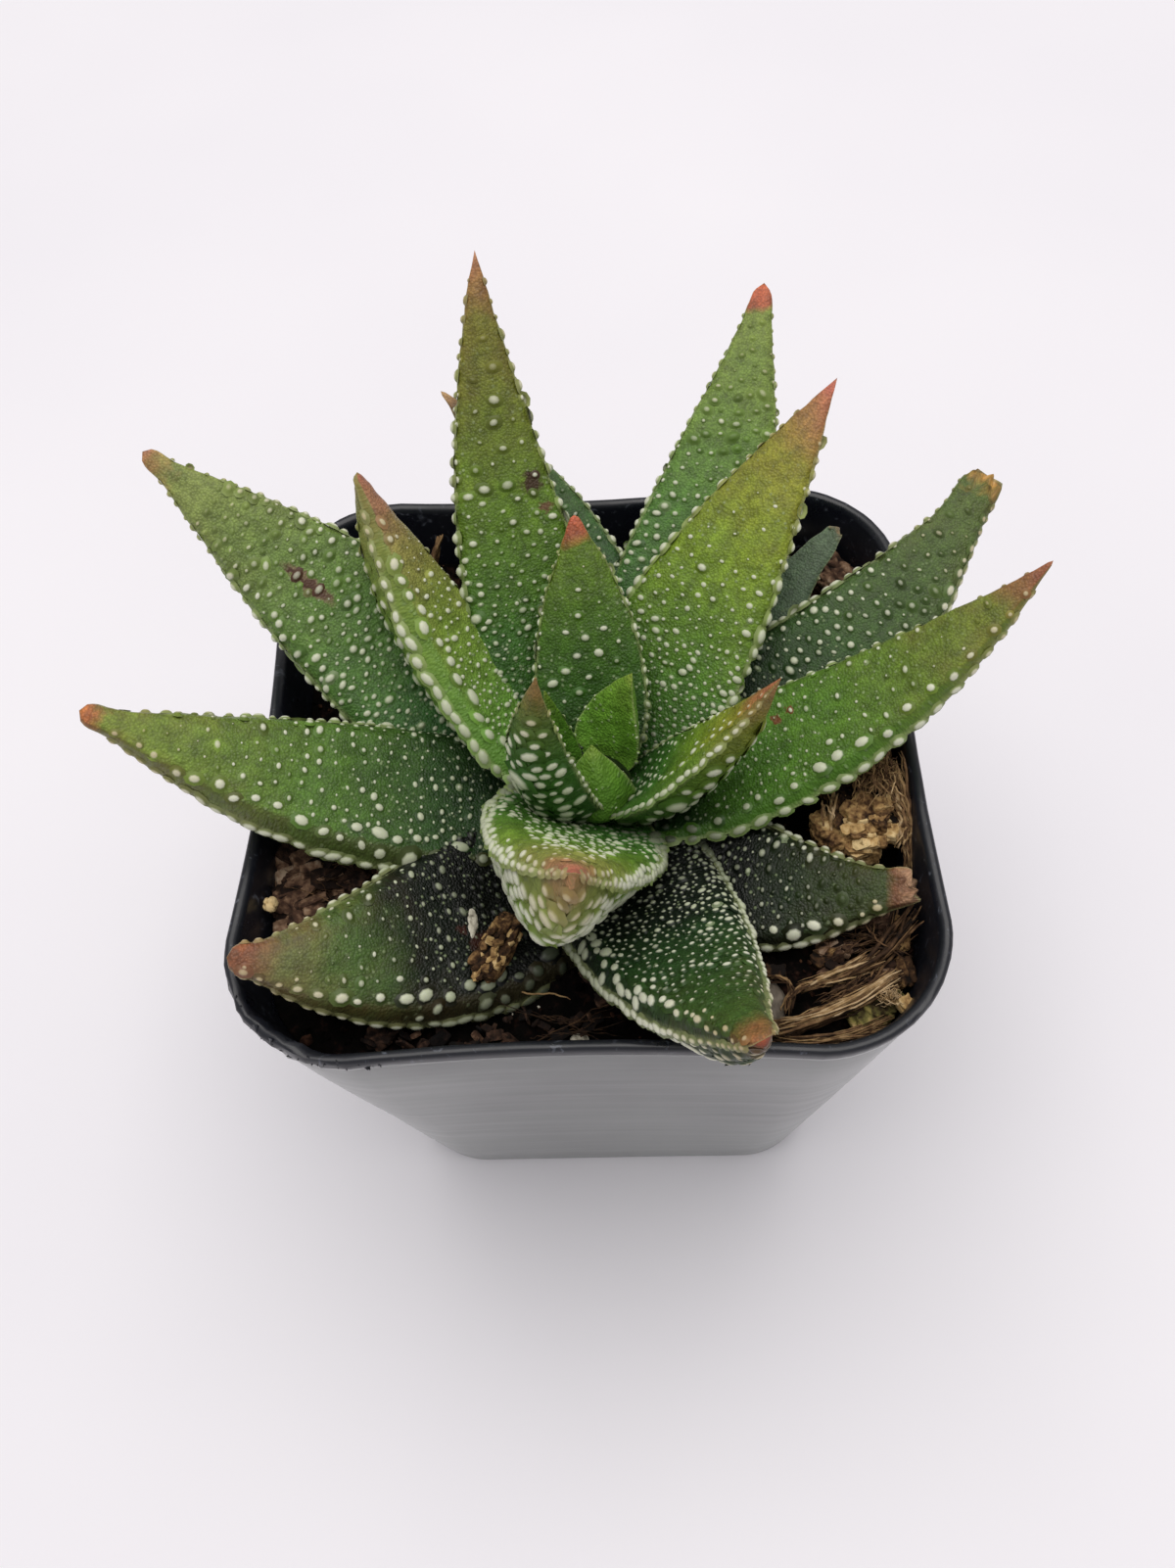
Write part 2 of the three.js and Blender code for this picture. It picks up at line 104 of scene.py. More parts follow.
# Each leaf from the heart outwards: facing, turn, rise, lift and roll in degrees, then long and
# wide in mm, thick as a share of the width, high on the stem in mm. Then how blunt its tip is and
# where that cap begins, and how far its margins are rounded down, as a share of the thickness.
LEAF_FORMS = [
    (70, -48, 62, 6, 4, 10.7, 6.9, 0.34, 53.6, 0.02, 0.95, 0.0),
    (140, 0, 68, 12, 0, 10, 2.5, 0.34, 54.5, 0.02, 0.95, 0.0),
    (-138, 8, 63.5, 41, 28, 22.5, 8.2, 0.36, 53, 0.05, 0.95, 0.1),
    (-15, 28, 48, 8, -33, 23, 10, 0.38, 52.5, 0.04, 0.95, 0.1),
    (91, 5, 45, -6, 0, 23.2, 10.6, 0.32, 53.5, 0.15, 0.92, 0.1),
    (-106, 38, 37, 26, -28, 30, 16.5, 0.42, 52, 0.06, 0.95, 0.12),
    (145, -24, 34, 13, 42, 35.5, 12, 0.45, 51.5, 0.17, 0.94, 0.24),
    (115, -25, 38, 7, 0, 50, 12.6, 0.34, 51, 0.02, 0.96, 0.14),
    (57, -10, 31, 3, 5, 43, 15, 0.32, 51, 0.02, 0.96, 0.14),
    (0.5, 27.2, 22, 15, 6, 45, 13, 0.34, 50, 0.06, 0.95, 0.3),
    (189, -16.5, 19, 14, -18, 46, 15, 0.4, 49.5, 0.16, 0.965, 0.3),
    (-72, 10, 9, 43, 0, 38, 16, 0.4, 49.5, 0.22, 0.93, 0.24),
    (147, 4, 27, 5, -29, 52, 17.5, 0.3, 49, 0.12, 0.965, 0.2),
    (62, 14.5, 25, 3, 8, 53, 16, 0.3, 48.8, 0.17, 0.93, 0.12),
    (85, 55, 26, -3, -13, 45, 14, 0.32, 48.8, 0.06, 0.95, 0.12),
    (14.5, 42, 21, -1, 16, 48.2, 16, 0.3, 48.5, 0.25, 0.96, 0.15),
    (-121, -56, 6, 24, -30, 38, 18, 0.42, 48.5, 0.16, 0.955, 0.26),
    (-45, 46, 5, 17, 27, 30.4, 14, 0.32, 48.5, 0.25, 0.95, 0.24),
    (49, -6, 15, 8, 10, 35, 12, 0.3, 48, 0.22, 0.92, 0.1),
    (-86, 0, 98, 10, 0, 8.6, 7.4, 0.4, 52.6, 0.05, 0.95, 0.1),
]
# The last row is the bud in the heart, which isn't in the solid model.
LEAF_COUNT = 19
FORM_FIELDS = (
    "facing", "turn", "rise", "lift", "roll", "long", "wide", "thick", "high",
    "blunt", "cap_from", "shoulder",
)
# Leaves that keep their width further towards the tip.
FULL_TAPERS = {
    5: 2.1, 7: 1.85, 10: 1.7, 11: 1.9, 12: 1.9, 13: 1.72, 14: 1.7, 16: 1.7, 17: 1.95, 18: 1.8,
}
# How ragged the dried tips are, in mm.
DRIED_TIPS = {7: 0.2, 14: 0.15, 16: 0.6, 18: 0.5, 19: 0.3}
# Leaves whose keel stays deep up to the tip: power of the thinning, and how much sharper it is.
DEEP_TIPS = {
    6: (4.5, 0.9), 7: (5.0, 0.0), 10: (3.5, 0.0), 11: (5.0, 0.0), 12: (5.0, 0.4), 17: (5.0, 0.0),
    18: (3.5, 0.0),
}

# Tubercles of each leaf, in mm: spacing low and high on the upper face, their radius low and high,
# the share of the length where the upper face goes bare, spacing and radius below, then spacing
# and radius of the teeth on the margins, where the underside and the margins go bare, and how
# white the crowns on the upper face are.
LEAF_TUBERCLES = [
    (2.4, 3.0, 0.13, 0.12, 0.55, 1.8, 0.20, 1.5, 0.13, 0.60, 0.6),
    (1.8, 2.6, 0.15, 0.13, 0.60, 1.6, 0.20, 1.3, 0.16, 0.65, 0.6),
    (1.0, 1.6, 0.18, 0.20, 0.75, 1.25, 0.42, 0.95, 0.24, 0.86, 0.92),
    (0.80, 1.1, 0.17, 0.19, 0.72, 1.66, 0.56, 0.95, 0.28, 0.92, 0.95),
    (1.6, 2.1, 0.22, 0.29, 0.80, 1.6, 0.28, 1.0, 0.26, 0.88, 0.72),
    (0.74, 0.95, 0.22, 0.26, 0.90, 1.2, 0.64, 0.98, 0.40, 0.96, 0.95),
    (0.58, 1.1, 0.14, 0.22, 0.82, 1.75, 0.48, 1.4, 0.40, 0.90, 0.95),
    (0.68, 1.65, 0.17, 0.36, 0.92, 1.7, 0.38, 1.5, 0.42, 0.95, 0.6),
    (0.62, 2.0, 0.16, 0.26, 0.74, 1.7, 0.40, 1.5, 0.42, 0.90, 0.92),
    (0.85, 1.6, 0.15, 0.22, 0.92, 1.7, 0.42, 1.8, 0.36, 0.95, 0.66),
    (0.80, 1.3, 0.16, 0.24, 0.88, 1.6, 0.44, 1.4, 0.40, 0.95, 0.8),
    (0.52, 0.74, 0.155, 0.20, 0.84, 0.9, 0.48, 0.8, 0.40, 0.985, 0.72),
    (0.66, 0.95, 0.20, 0.28, 0.86, 1.6, 0.38, 1.3, 0.34, 0.96, 0.62),
    (0.85, 1.15, 0.20, 0.29, 0.93, 1.6, 0.38, 1.2, 0.30, 0.95, 0.62),
    (0.95, 1.3, 0.21, 0.25, 0.90, 1.6, 0.38, 1.2, 0.30, 0.92, 0.5),
    (0.80, 1.15, 0.24, 0.30, 0.95, 1.6, 0.40, 1.25, 0.38, 0.96, 0.68),
    (0.70, 1.3, 0.15, 0.24, 0.86, 1.3, 0.46, 1.25, 0.43, 0.97, 0.7),
    (0.62, 0.95, 0.17, 0.27, 0.84, 1.5, 0.46, 1.35, 0.46, 0.90, 0.52),
    (1.6, 2.2, 0.18, 0.18, 0.80, 2.2, 0.26, 1.8, 0.22, 0.85, 0.4),
    (3.0, 4.0, 0.07, 0.07, 0.30, 3.0, 0.10, 1.6, 0.07, 0.60, 0.5),
]
TUBERCLE_FIELDS = (
    "gap_low", "gap_high", "size_low", "size_high", "bare_from",
    "under_gap", "under_size", "edge_gap", "edge_size", "edge_bare", "pearl",
)
# How far the teeth stand in from each margin, in radians round the section. Where that is far, a
# band of the underside shows beyond them, with a row of flat scales on its edge.
TEETH_TURNED_IN = {
    4: (0.1, 1.05), 6: (0.34, 0.34), 7: (0.8, 0.05), 10: (0.05, 0.68), 11: (0.78, 0.05),
    12: (0.2, 0.62), 16: (0.05, 0.45), 17: (0.78, 0.08), 18: (0.05, 0.7),
}
SCALES_FROM = 0.3
# Bands of the upper face without tubercles: the range of the place across, and from what share of
# the length they are bare.
SMOOTH_BANDS = {4: [(-1, 0.55, 0.3)], 6: [(-1, -0.55, 0.35), (0.55, 1, 0.35)]}
# Colour of the underside where it isn't the leaf's own low colour.
UNDER_SKIN = {6: "#66803c", 4: "#4a6f28", 11: "#4c4a28", 17: "#453f28"}

# Skin colours of each leaf from base to tip and of its very end, how far the dark base reaches,
# where the tip colour is reached, over what share of the length it comes, and how far the red
# flush of strong light has gone. The dark base is partly the leaf's deeper green and partly
# painted shade of the leaves above it; on the outer leaves it is near black.
LEAF_COLOURS = [
    ("#6a9834", "#6a9c34", "#66952c", "#769d34", "#93ab46", "#9db04c", 0.1, 0.95, 0.1, 0.0),
    ("#5c8c2e", "#5f9030", "#5c8b2b", "#729832", "#8aa842", "#93ab46", 0.1, 0.95, 0.1, 0.0),
    ("#24421a", "#355e22", "#407125", "#66762f", "#a87448", "#c9805a", 0.1, 0.94, 0.13, 0.05),
    ("#284c1a", "#3d6c24", "#7d9a2c", "#98952f", "#b0704a", "#c4684f", 0.1, 0.9, 0.14, 0.2),
    ("#223f11", "#345c18", "#446817", "#5f7a20", "#a85c3a", "#d46a4e", 0.1, 0.93, 0.05, 0.05),
    ("#356226", "#4b7b2a", "#719331", "#929749", "#b27a5c", "#c4705c", 0.1, 0.93, 0.1, 0.2),
    ("#356122", "#669238", "#7c9638", "#8f8a48", "#a07656", "#ac6a52", 0.1, 0.92, 0.14, 0.18),
    ("#1e4415", "#3b671f", "#5f7e22", "#75752b", "#ab7850", "#d09070", 0.1, 0.97, 0.1, 0.25),
    ("#2c5419", "#4b7422", "#799428", "#909232", "#ad7650", "#cc7460", 0.1, 0.94, 0.16, 0.25),
    ("#183410", "#4a761e", "#587c24", "#72802d", "#9a6a44", "#b0624c", 0.14, 0.95, 0.1, 0.3),
    ("#0f2610", "#2b4a1c", "#587c2e", "#7c903a", "#b06c44", "#e08a4a", 0.13, 0.985, 0.03, 0.25),
    ("#050806", "#0a1a0a", "#22441a", "#3a5a1e", "#8a6238", "#c95e3e", 0.22, 0.968, 0.05, 0.12),
    ("#1b3d1b", "#31602a", "#5c7f39", "#8d9b54", "#b98a5a", "#c88c6c", 0.1, 0.985, 0.05, 0.08),
    ("#1b3c1e", "#2f5d2b", "#5a8436", "#86984a", "#b0684c", "#cf7050", 0.1, 0.975, 0.035, 0.05),
    ("#1c361d", "#2c4c25", "#406533", "#53733d", "#96754f", "#b8926a", 0.1, 0.95, 0.06, 0.1),
    ("#091407", "#152a13", "#3c5a2a", "#5c7038", "#c8964e", "#ecc88c", 0.16, 0.985, 0.03, 0.1),
    ("#030603", "#0b180a", "#4e6c30", "#6c7040", "#8a5a42", "#c87848", 0.4, 0.982, 0.1, 0.3),
    ("#020302", "#060d06", "#1c2e14", "#3a4a20", "#80583f", "#c6a07e", 0.3, 0.95, 0.05, 0.1),
    ("#2b3d30", "#405544", "#587156", "#697c61", "#a07c5c", "#b8926a", 0.1, 0.985, 0.025, 0.0),
    ("#4a7026", "#5a862c", "#64942e", "#7aa038", "#93ab46", "#9db04c", 0.1, 0.95, 0.1, 0.0),
]
COLOUR_FIELDS = (
    "base", "low", "middle", "high", "tip", "end", "dark_and_shaded_to", "tip_from", "fade", "flush",
)

# Old brown scars: leaf number, share of the length, place across (-1 to 1), radius in mm, how far
# they are drawn out along the leaf, and colour.
SCARS = {
    8: [(0.575, -0.6, 1.1, 1.2, "#3c2018"), (0.525, -0.72, 0.7, 1.0, "#6a4a34")],
    10: [(0.375, 0.36, 0.55, 1.0, "#6e3a22"), (0.41, 0.44, 0.45, 1.0, "#7a4428")],
    13: [
        (0.63, 0.02, 0.85, 4.0, "#7e6650"), (0.64, 0.04, 0.42, 7.0, "#4a2e22"),
        (0.615, 0.0, 0.35, 6.0, "#54382a"),
    ],
    17: [(0.42, 0.25, 1.0, 1.6, "#3a1c14"), (0.45, 0.05, 0.6, 1.0, "#3a1c14")],
}

# Camera: fitted to the pot's rim and foot in the photograph.
CAMERA_AT = Vector((7.628, -74.683, 165.108)) * MM
CAMERA_RIGHT = Vector((0.9979, 0.0030, -0.0645))
CAMERA_UP = Vector((0.0320, 0.8453, 0.5334))
CAMERA_AHEAD = Vector((-0.0562, 0.5344, -0.8434))
FOCAL_PIXELS = 1432.0
PHOTO_HEIGHT = 1601.0
SENSOR_HEIGHT = 36.0


# ---------------------------------------------------------------- materials


def linear(code):
    """An sRGB hex colour as linear RGBA."""
    parts = [int(code[i : i + 2], 16) / 255 for i in (1, 3, 5)]
    return (*(c / 12.92 if c <= 0.04045 else ((c + 0.055) / 1.055) ** 2.4 for c in parts), 1.0)


def node(tree, kind, inputs, output=0, stops=(), **settings):
    """Adds one shader node with its settings and links, and gives back one of its outputs."""
    made = tree.nodes.new("ShaderNode" + kind)
    for key, value in settings.items():
        setattr(made, key, value)
    for _ in stops[2:]:
        made.color_ramp.elements.new(0.5)
    for element, (position, colour) in zip(made.color_ramp.elements if stops else (), stops):
        element.position = position
        element.color = linear(colour)
    for key, value in inputs.items():
        if isinstance(value, bpy.types.NodeSocket):
            tree.links.new(value, made.inputs[key])
        else:
            made.inputs[key].default_value = linear(value) if isinstance(value, str) else value
    return made.outputs[output]


def begin_material(name):
    material = bpy.data.materials.new(name)
    material.use_nodes = True
    material.node_tree.nodes.clear()
    return material, material.node_tree


def end_material(material, surface):
    """Gives the material its Principled shader, with sockets set or linked, and its output."""
    tree = material.node_tree
    shader = node(tree, "BsdfPrincipled", surface)
    tree.links.new(shader, tree.nodes.new("ShaderNodeOutputMaterial").inputs["Surface"])
    return material


def leaf_skin(number, colours, scars):
    """Living succulent epidermis: a waxy cuticle over green flesh. It gives a satin surface with
    fine cells, a lighter margin, a red flush where light is strong, and off-white tubercles."""
    material, tree = begin_material(f"haworthia_epidermis_{number:02d}")
    along, edge, under, crown = (
        node(tree, "Attribute", {}, "Fac", attribute_name=name)
        for name in ("along", "edge", "under", "crown")
    )
    blade = node(tree, "Attribute", {}, "Vector", attribute_name="blade_mm")
    dark_and_shaded_to, tip_from = colours["dark_and_shaded_to"], colours["tip_from"]

    # Colour along the leaf, its borders blurred over about 3 mm.
    wander = node(tree, "TexNoise", {"Vector": blade, "Scale": 0.3, "Detail": 4.0})
    shift = node(tree, "MapRange", {0: wander, 1: 0.3, 2: 0.7, 3: -0.035, 4: 0.035})
    place = node(tree, "Math", {0: along, 1: shift}, operation="ADD")
    # The base colour, up to where the dark base ends, is partly the leaf's deeper green and partly
    # painted shade of the leaves above it.
    starts = (dark_and_shaded_to, dark_and_shaded_to + 0.18, max(0.55, dark_and_shaded_to + 0.34), tip_from - colours["fade"])
    names = ("base", "low", "middle", "high", "tip", "end")
    stops = list(zip((*starts, tip_from, 1.0), [colours[name] for name in names]))
    skin = node(tree, "ValToRGB", {0: place}, stops=stops)

    # Veins and watery streaks that run lengthwise, 0.8 mm apart, darker pools between tubercles,
    # and the fine cells of the epidermis, drawn at 0.24 mm to show. Each shades the skin.
    stretch = node(tree, "Mapping", {"Vector": blade, "Scale": (1.3, 0.16, 1.0)})
    streak = node(tree, "TexNoise", {"Vector": stretch, "Scale": 1.0, "Detail": 3.0})
    pool = node(tree, "TexNoise", {"Vector": blade, "Scale": 0.9, "Detail": 5.0})
    cells = node(tree, "TexVoronoi", {"Vector": blade, "Scale": 4.2})
    for pattern, low, high, dark, light in (
        (streak, 0.3, 0.7, 0.86, 1.12), (pool, 0.3, 0.7, 0.68, 1.26), (cells, 0.0, 0.7, 1.28, 0.78)
    ):
        shade = node(tree, "MapRange", {0: pattern, 1: low, 2: high, 3: dark, 4: light})
        both = {0: 1.0, 6: skin, 7: shade}
        skin = node(tree, "Mix", both, 2, data_type="RGBA", blend_type="MULTIPLY")

    # Grains 0.3 mm across between the tubercles, paler and slightly raised. The underside is
    # duller, the margin is pale and translucent.
    dots = node(tree, "TexVoronoi", {"Vector": blade, "Scale": 1.25})
    dot = node(tree, "MapRange", {0: dots, 1: 0.24, 2: 0.12})
    sown = node(tree, "MapRange", {0: place, 1: 0.9, 2: 0.6})
    dot = node(tree, "Math", {0: dot, 1: sown}, operation="MULTIPLY")
    layers = [
        (node(tree, "Math", {0: dot, 1: 0.5}, operation="MULTIPLY"), "#a3b488"),
        (
            node(tree, "Math", {0: under, 1: 0.5}, operation="MULTIPLY"),
            UNDER_SKIN.get(number, colours["low"]),
        ),
        (node(tree, "MapRange", {0: edge, 1: 0.93, 2: 1.0, 3: 0.0, 4: 0.45}), "#a9b37c"),
    ]

    # Red flush: near the tip and towards the margins, in patches.
    if colours["flush"]:
        patches = node(tree, "TexNoise", {"Vector": blade, "Scale": 0.5, "Detail": 5.0})
        flush = colours["flush"]
        for pattern, low, high, least in (
            (place, 0.5, 0.95, 0.0), (edge, 0.2, 1.0, 0.35), (patches, 0.35, 0.65, 0.2)
        ):
            share = node(tree, "MapRange", {0: pattern, 1: low, 2: high, 3: least, 4: 1.0})
            flush = node(tree, "Math", {0: share, 1: flush}, operation="MULTIPLY")
        layers.append((flush, "#9a5a3c"))

    # Scars: dry brown spots with a ragged rim.
    for across, length, radius, drawn, brown in scars:
        ragged = node(tree, "TexNoise", {"Vector": blade, "Scale": 1.6, "Detail": 5.0}, "Color")
        wobble = node(tree, "VectorMath", {0: ragged, 1: (1.6, 1.6, 0.0)}, operation="MULTIPLY")
        moved = node(tree, "VectorMath", {0: blade, 1: wobble}, operation="ADD")
        squeeze = {0: moved, 1: (1.0, 1.0 / drawn, 0.0)}
        flat = node(tree, "VectorMath", squeeze, operation="MULTIPLY")
        centre = (across + 0.8, (length + 0.8) / drawn, 0.0)
        far = node(tree, "VectorMath", {0: flat, 1: centre}, "Value", operation="DISTANCE")
        dry = node(tree, "MapRange", {0: far, 1: radius, 2: radius * 0.6, 3: 0.0, 4: 0.92})
        upper = node(tree, "Math", {0: 1.0, 1: under}, operation="SUBTRACT")
        layers.append((node(tree, "Math", {0: dry, 1: upper}, operation="MULTIPLY"), brown))

    # Tubercles: pearly white crowns, yellower near the tip, on a green foot; dim grey-green on the
    # dark base, as painted shade.
    pearl = node(tree, "ValToRGB", {0: along}, stops=[
        (dark_and_shaded_to - 0.04, "#4b5241"), (dark_and_shaded_to + 0.16, "#bcc3a6"), (0.7, "#dcdec8"),
        (0.88, "#c4b892"), (1.0, "#bba682"),
    ])
    foot = node(tree, "MapRange", {0: along, 1: 0.5, 2: 0.95, 3: 0.3, 4: 0.62})
    full = node(tree, "Math", {0: foot, 1: 0.34}, operation="ADD")
    layers.append((node(tree, "MapRange", {0: crown, 1: foot, 2: full, 3: 0.0, 4: 0.94}), pearl))
    for share, colour in layers:
        skin = node(tree, "Mix", {0: share, 6: skin, 7: colour}, 2, data_type="RGBA")

    rough = node(tree, "MapRange", {0: pool, 1: 0.3, 2: 0.7, 3: 0.36, 4: 0.56})
    gloss = node(tree, "MapRange", {0: crown, 1: 0.2, 2: 0.6, 3: 0.0, 4: 0.1})
    fine = node(tree, "TexNoise", {"Vector": blade, "Scale": 3.5, "Detail": 5.0})
    relief = node(tree, "Math", {0: fine, 1: cells}, operation="SUBTRACT")
    relief = node(tree, "Math", {0: relief, 1: dot}, operation="ADD")
    return end_material(material, {
        "Base Color": skin,
        "Roughness": node(tree, "Math", {0: rough, 1: gloss}, operation="SUBTRACT"),
        "IOR": 1.42,
        "Specular IOR Level": 0.42,
        "Normal": node(tree, "Bump", {"Height": relief, "Strength": 0.55, "Distance": 0.00018}),
        "Subsurface Weight": 0.08,
        "Subsurface Radius": (0.9, 1.2, 0.4),
        "Subsurface Scale": 0.001,
        "Coat Weight": 0.06,
        "Coat Roughness": 0.3,
    })


def pot_outside_plastic():
    """Black moulded polypropylene, outside: a semi-gloss wall with level scuffs and a pale film,
    partly dust and partly painted reflection of the white table, heavier towards the foot, so it
    reads as dark grey against a white table."""
    material, tree = begin_material("moulded_polypropylene_outside")
    where = node(tree, "TexCoord", {}, "Object")
    level = node(tree, "Mapping", {"Vector": where, "Scale": (55.0, 55.0, 700.0)})
    scuffs = node(tree, "TexNoise", {"Vector": level, "Scale": 1.0, "Detail": 6.0})
    clouds = node(tree, "TexNoise", {"Vector": where, "Scale": 60.0, "Detail": 5.0})
    height = node(tree, "SeparateXYZ", {0: where}, 2)
    # Paler towards the foot: painted reflection of the white table.
    low = node(tree, "MapRange", {0: height, 1: 0.004, 2: 0.03, 3: 0.14, 4: 0.0})
    # Pale film in clouds: partly dust, partly painted reflection of the table.
    dust_and_painted_reflection = node(tree, "MapRange", {0: clouds, 1: 0.3, 2: 0.7, 3: 0.06, 4: 0.2})
    dust_and_painted_reflection = node(tree, "Math", {0: dust_and_painted_reflection, 1: low}, operation="ADD")
    rubbed = node(tree, "MapRange", {0: scuffs, 1: 0.35, 2: 0.7, 3: 0.85, 4: 1.2})
    dust_and_painted_reflection = node(tree, "Math", {0: dust_and_painted_reflection, 1: rubbed}, operation="MULTIPLY")
    colour = node(tree, "Mix", {0: dust_and_painted_reflection, 6: "#14161a", 7: "#b4bcb5"}, 2, data_type="RGBA")
    return end_material(material, {
        "Base Color": colour,
        "Roughness": node(tree, "MapRange", {0: scuffs, 1: 0.3, 2: 0.7, 3: 0.3, 4: 0.48}),
        "IOR": 1.5,
        "Normal": node(tree, "Bump", {"Height": scuffs, "Strength": 0.15, "Distance": 0.0001}),
        "Coat Weight": 1.0,
        "Coat Roughness": 0.3,
    })


def pot_rim_plastic():
    """Black moulded polypropylene, rim and inside: glossy, with short pale scratches that are
    partly real and partly painted glints, and a little grit on the rim."""
    material, tree = begin_material("moulded_polypropylene_rim")
    where = node(tree, "TexCoord", {}, "Object")
    hatched = {"Vector": where, "Scale": 900.0, "Detail": 4.0, "Distortion": 1.5}
    scratches_and_painted_glints = node(tree, "TexNoise", hatched)
    # Pale lines: partly real scratches, partly painted glints.
    pale = node(tree, "MapRange", {0: scratches_and_painted_glints, 1: 0.62, 2: 0.74, 3: 0.0, 4: 0.35})
    wear = node(tree, "TexNoise", {"Vector": where, "Scale": 220.0, "Detail": 5.0})
    colour = node(tree, "Mix", {0: pale, 6: "#181a22", 7: "#8a90a0"}, 2, data_type="RGBA")
    return end_material(material, {
        "Base Color": colour,
        "Roughness": node(tree, "MapRange", {0: wear, 1: 0.3, 2: 0.7, 3: 0.24, 4: 0.42}),
        "IOR": 1.5,
        "Normal": node(tree, "Bump", {"Height": wear, "Strength": 0.3, "Distance": 0.0002}),
    })


def toned_matter(name, grain, rough, lift, gloss, *stops):
    """Loose matter whose tone is an attribute of each crumb or strand: the stops are its colours
    by tone, from deep and dark to dry and pale, and grain gives its pits per mm, lift mm deep."""
    material, tree = begin_material(name)
    where = node(tree, "TexCoord", {}, "Object")
    tone = node(tree, "Attribute", {}, "Fac", attribute_name="tone")
    pits = node(tree, "TexNoise", {"Vector": where, "Scale": 1000.0 * grain, "Detail": 6.0})
    mottle = node(tree, "MapRange", {0: pits, 1: 0.3, 2: 0.7, 3: -0.2, 4: 0.2})
    place = node(tree, "Math", {0: tone, 1: mottle}, operation="ADD")
    return end_material(material, {
        "Base Color": node(tree, "ValToRGB", {0: place}, stops=stops),
        "Roughness": rough,
        "IOR": 1.45,
        "Specular IOR Level": gloss,
        "Normal": node(tree, "Bump", {"Height": pits, "Strength": 0.9, "Distance": lift * MM}),
    })


def stem_skin_painted_shade():
    """Young stem tissue deep between the leaf bases: dull and slightly fibrous, its dark green
    darkened to near black as painted shade of the gap between the leaf bases.
    """
    material, tree = begin_material("haworthia_stem_tissue_painted_shade")
    where = node(tree, "TexCoord", {}, "Object")
    fibres = node(tree, "Mapping", {"Vector": where, "Scale": (1400.0, 1400.0, 200.0)})
    streak = node(tree, "TexNoise", {"Vector": fibres, "Scale": 1.0, "Detail": 4.0})
    return end_material(material, {
        # Near black: painted shade of the gap between the leaf bases.
        "Base Color": node(
            tree, "ValToRGB", {0: streak}, stops=[(0.3, "#10190a"), (0.7, "#2a3d18")]
        ),
        "Roughness": 0.95,
        "Specular IOR Level": 0.1,
        "Normal": node(tree, "Bump", {"Height": streak, "Strength": 0.4, "Distance": 0.0002}),
    })


def table_paint():
    """White matt table top: plain, with the least mottling, so that it doesn't look flat."""
    material, tree = begin_material("white_matt_table")
    where = node(tree, "TexCoord", {}, "Object")
    soft = node(tree, "TexNoise", {"Vector": where, "Scale": 9.0, "Detail": 3.0})
    colour = node(tree, "ValToRGB", {0: soft}, stops=[(0.3, "#f3f1f8"), (0.7, "#f8f6fc")])
    return end_material(material, {"Base Color": colour, "Roughness": 0.85, "IOR": 1.45})


# Damp peat: near black and dull, so that its drier crumbs stand out brown.
DAMP_PEAT = toned_matter(
    "damp_peat_and_bark_crumbs", 1.1, 0.95, 0.25, 0.12,
    (0.0, "#020201"), (0.25, "#0a0605"), (0.45, "#2b1a14"), (0.65, "#5a3d2e"), (0.92, "#96714f"),
    (1.0, "#d9d2c2"),
)
# Weathered bark: grey-brown and dull, dark in its cracks, partly its own colour and partly
# painted shade.
BARK = toned_matter(
    "weathered_pine_bark", 1.4, 0.9, 0.3, 0.3,
    (0.0, "#080505"), (0.3, "#241711"), (0.52, "#50392c"), (0.72, "#836751"), (1.0, "#b9a38c"),
)
# Rotten wood: tan and crumbly, dark where it is deep, partly its own colour and partly painted
# shade.
ROTTEN_WOOD = toned_matter(
    "crumbled_dry_wood", 2.0, 0.9, 0.3, 0.3,
    (0.0, "#120a06"), (0.25, "#49321f"), (0.45, "#8a6a44"), (0.7, "#bb9965"), (1.0, "#e0c592"),
)
# Dry root fibre: straw over brown, dull.
DRY_FIBRE = toned_matter(
    "dry_root_fibre", 1.2, 0.85, 0.15, 0.3,
    (0.0, "#160d08"), (0.3, "#45301f"), (0.55, "#7a5d40"), (0.8, "#a3855c"), (1.0, "#cbb08a"),
)
# Expanded perlite: off-white and chalky, with dark pits.
PERLITE = toned_matter(
    "expanded_perlite", 2.5, 0.85, 0.2, 0.3,
    (0.0, "#3a352c"), (0.25, "#9a9484"), (0.5, "#c9c3b2"), (1.0, "#e9e4d6"),
)
# Washed grit: smooth and warm grey, the least dull of them.
PEBBLE = toned_matter(
    "washed_grit", 1.5, 0.6, 0.05, 0.3, (0.0, "#4a4238"), (0.5, "#7c7266"), (1.0, "#a89e90")
)
# Dry moss: olive and straw over dark bark.
MOSS = toned_matter(
    "dry_moss_on_bark", 1.6, 0.95, 0.3, 0.3,
    (0.0, "#140f08"), (0.3, "#3a2f1c"), (0.5, "#5d5730"), (0.7, "#857a44"), (1.0, "#bda070"),
)


# ---------------------------------------------------------------- mesh helpers


def new_primitive(name):
    """Names the primitive that was just added."""
    made = bpy.context.object
    made.name = made.data.name = name
    return made


def coordinates(thing):
    found = np.empty(len(thing.data.vertices) * 3)
    thing.data.vertices.foreach_get("co", found)
    return found.reshape(-1, 3)


def set_coordinates(thing, points):
    thing.data.vertices.foreach_set("co", np.ascontiguousarray(points).ravel())
    thing.data.update()


def set_attribute(thing, name, values):
    """Stores one value, or one vector, for each vertex."""
    values = np.ascontiguousarray(values, dtype=float)
    kind, key = ("FLOAT_VECTOR", "vector") if values.ndim == 2 else ("FLOAT", "value")
    thing.data.attributes.new(name, kind, "POINT").data.foreach_set(key, values.ravel())


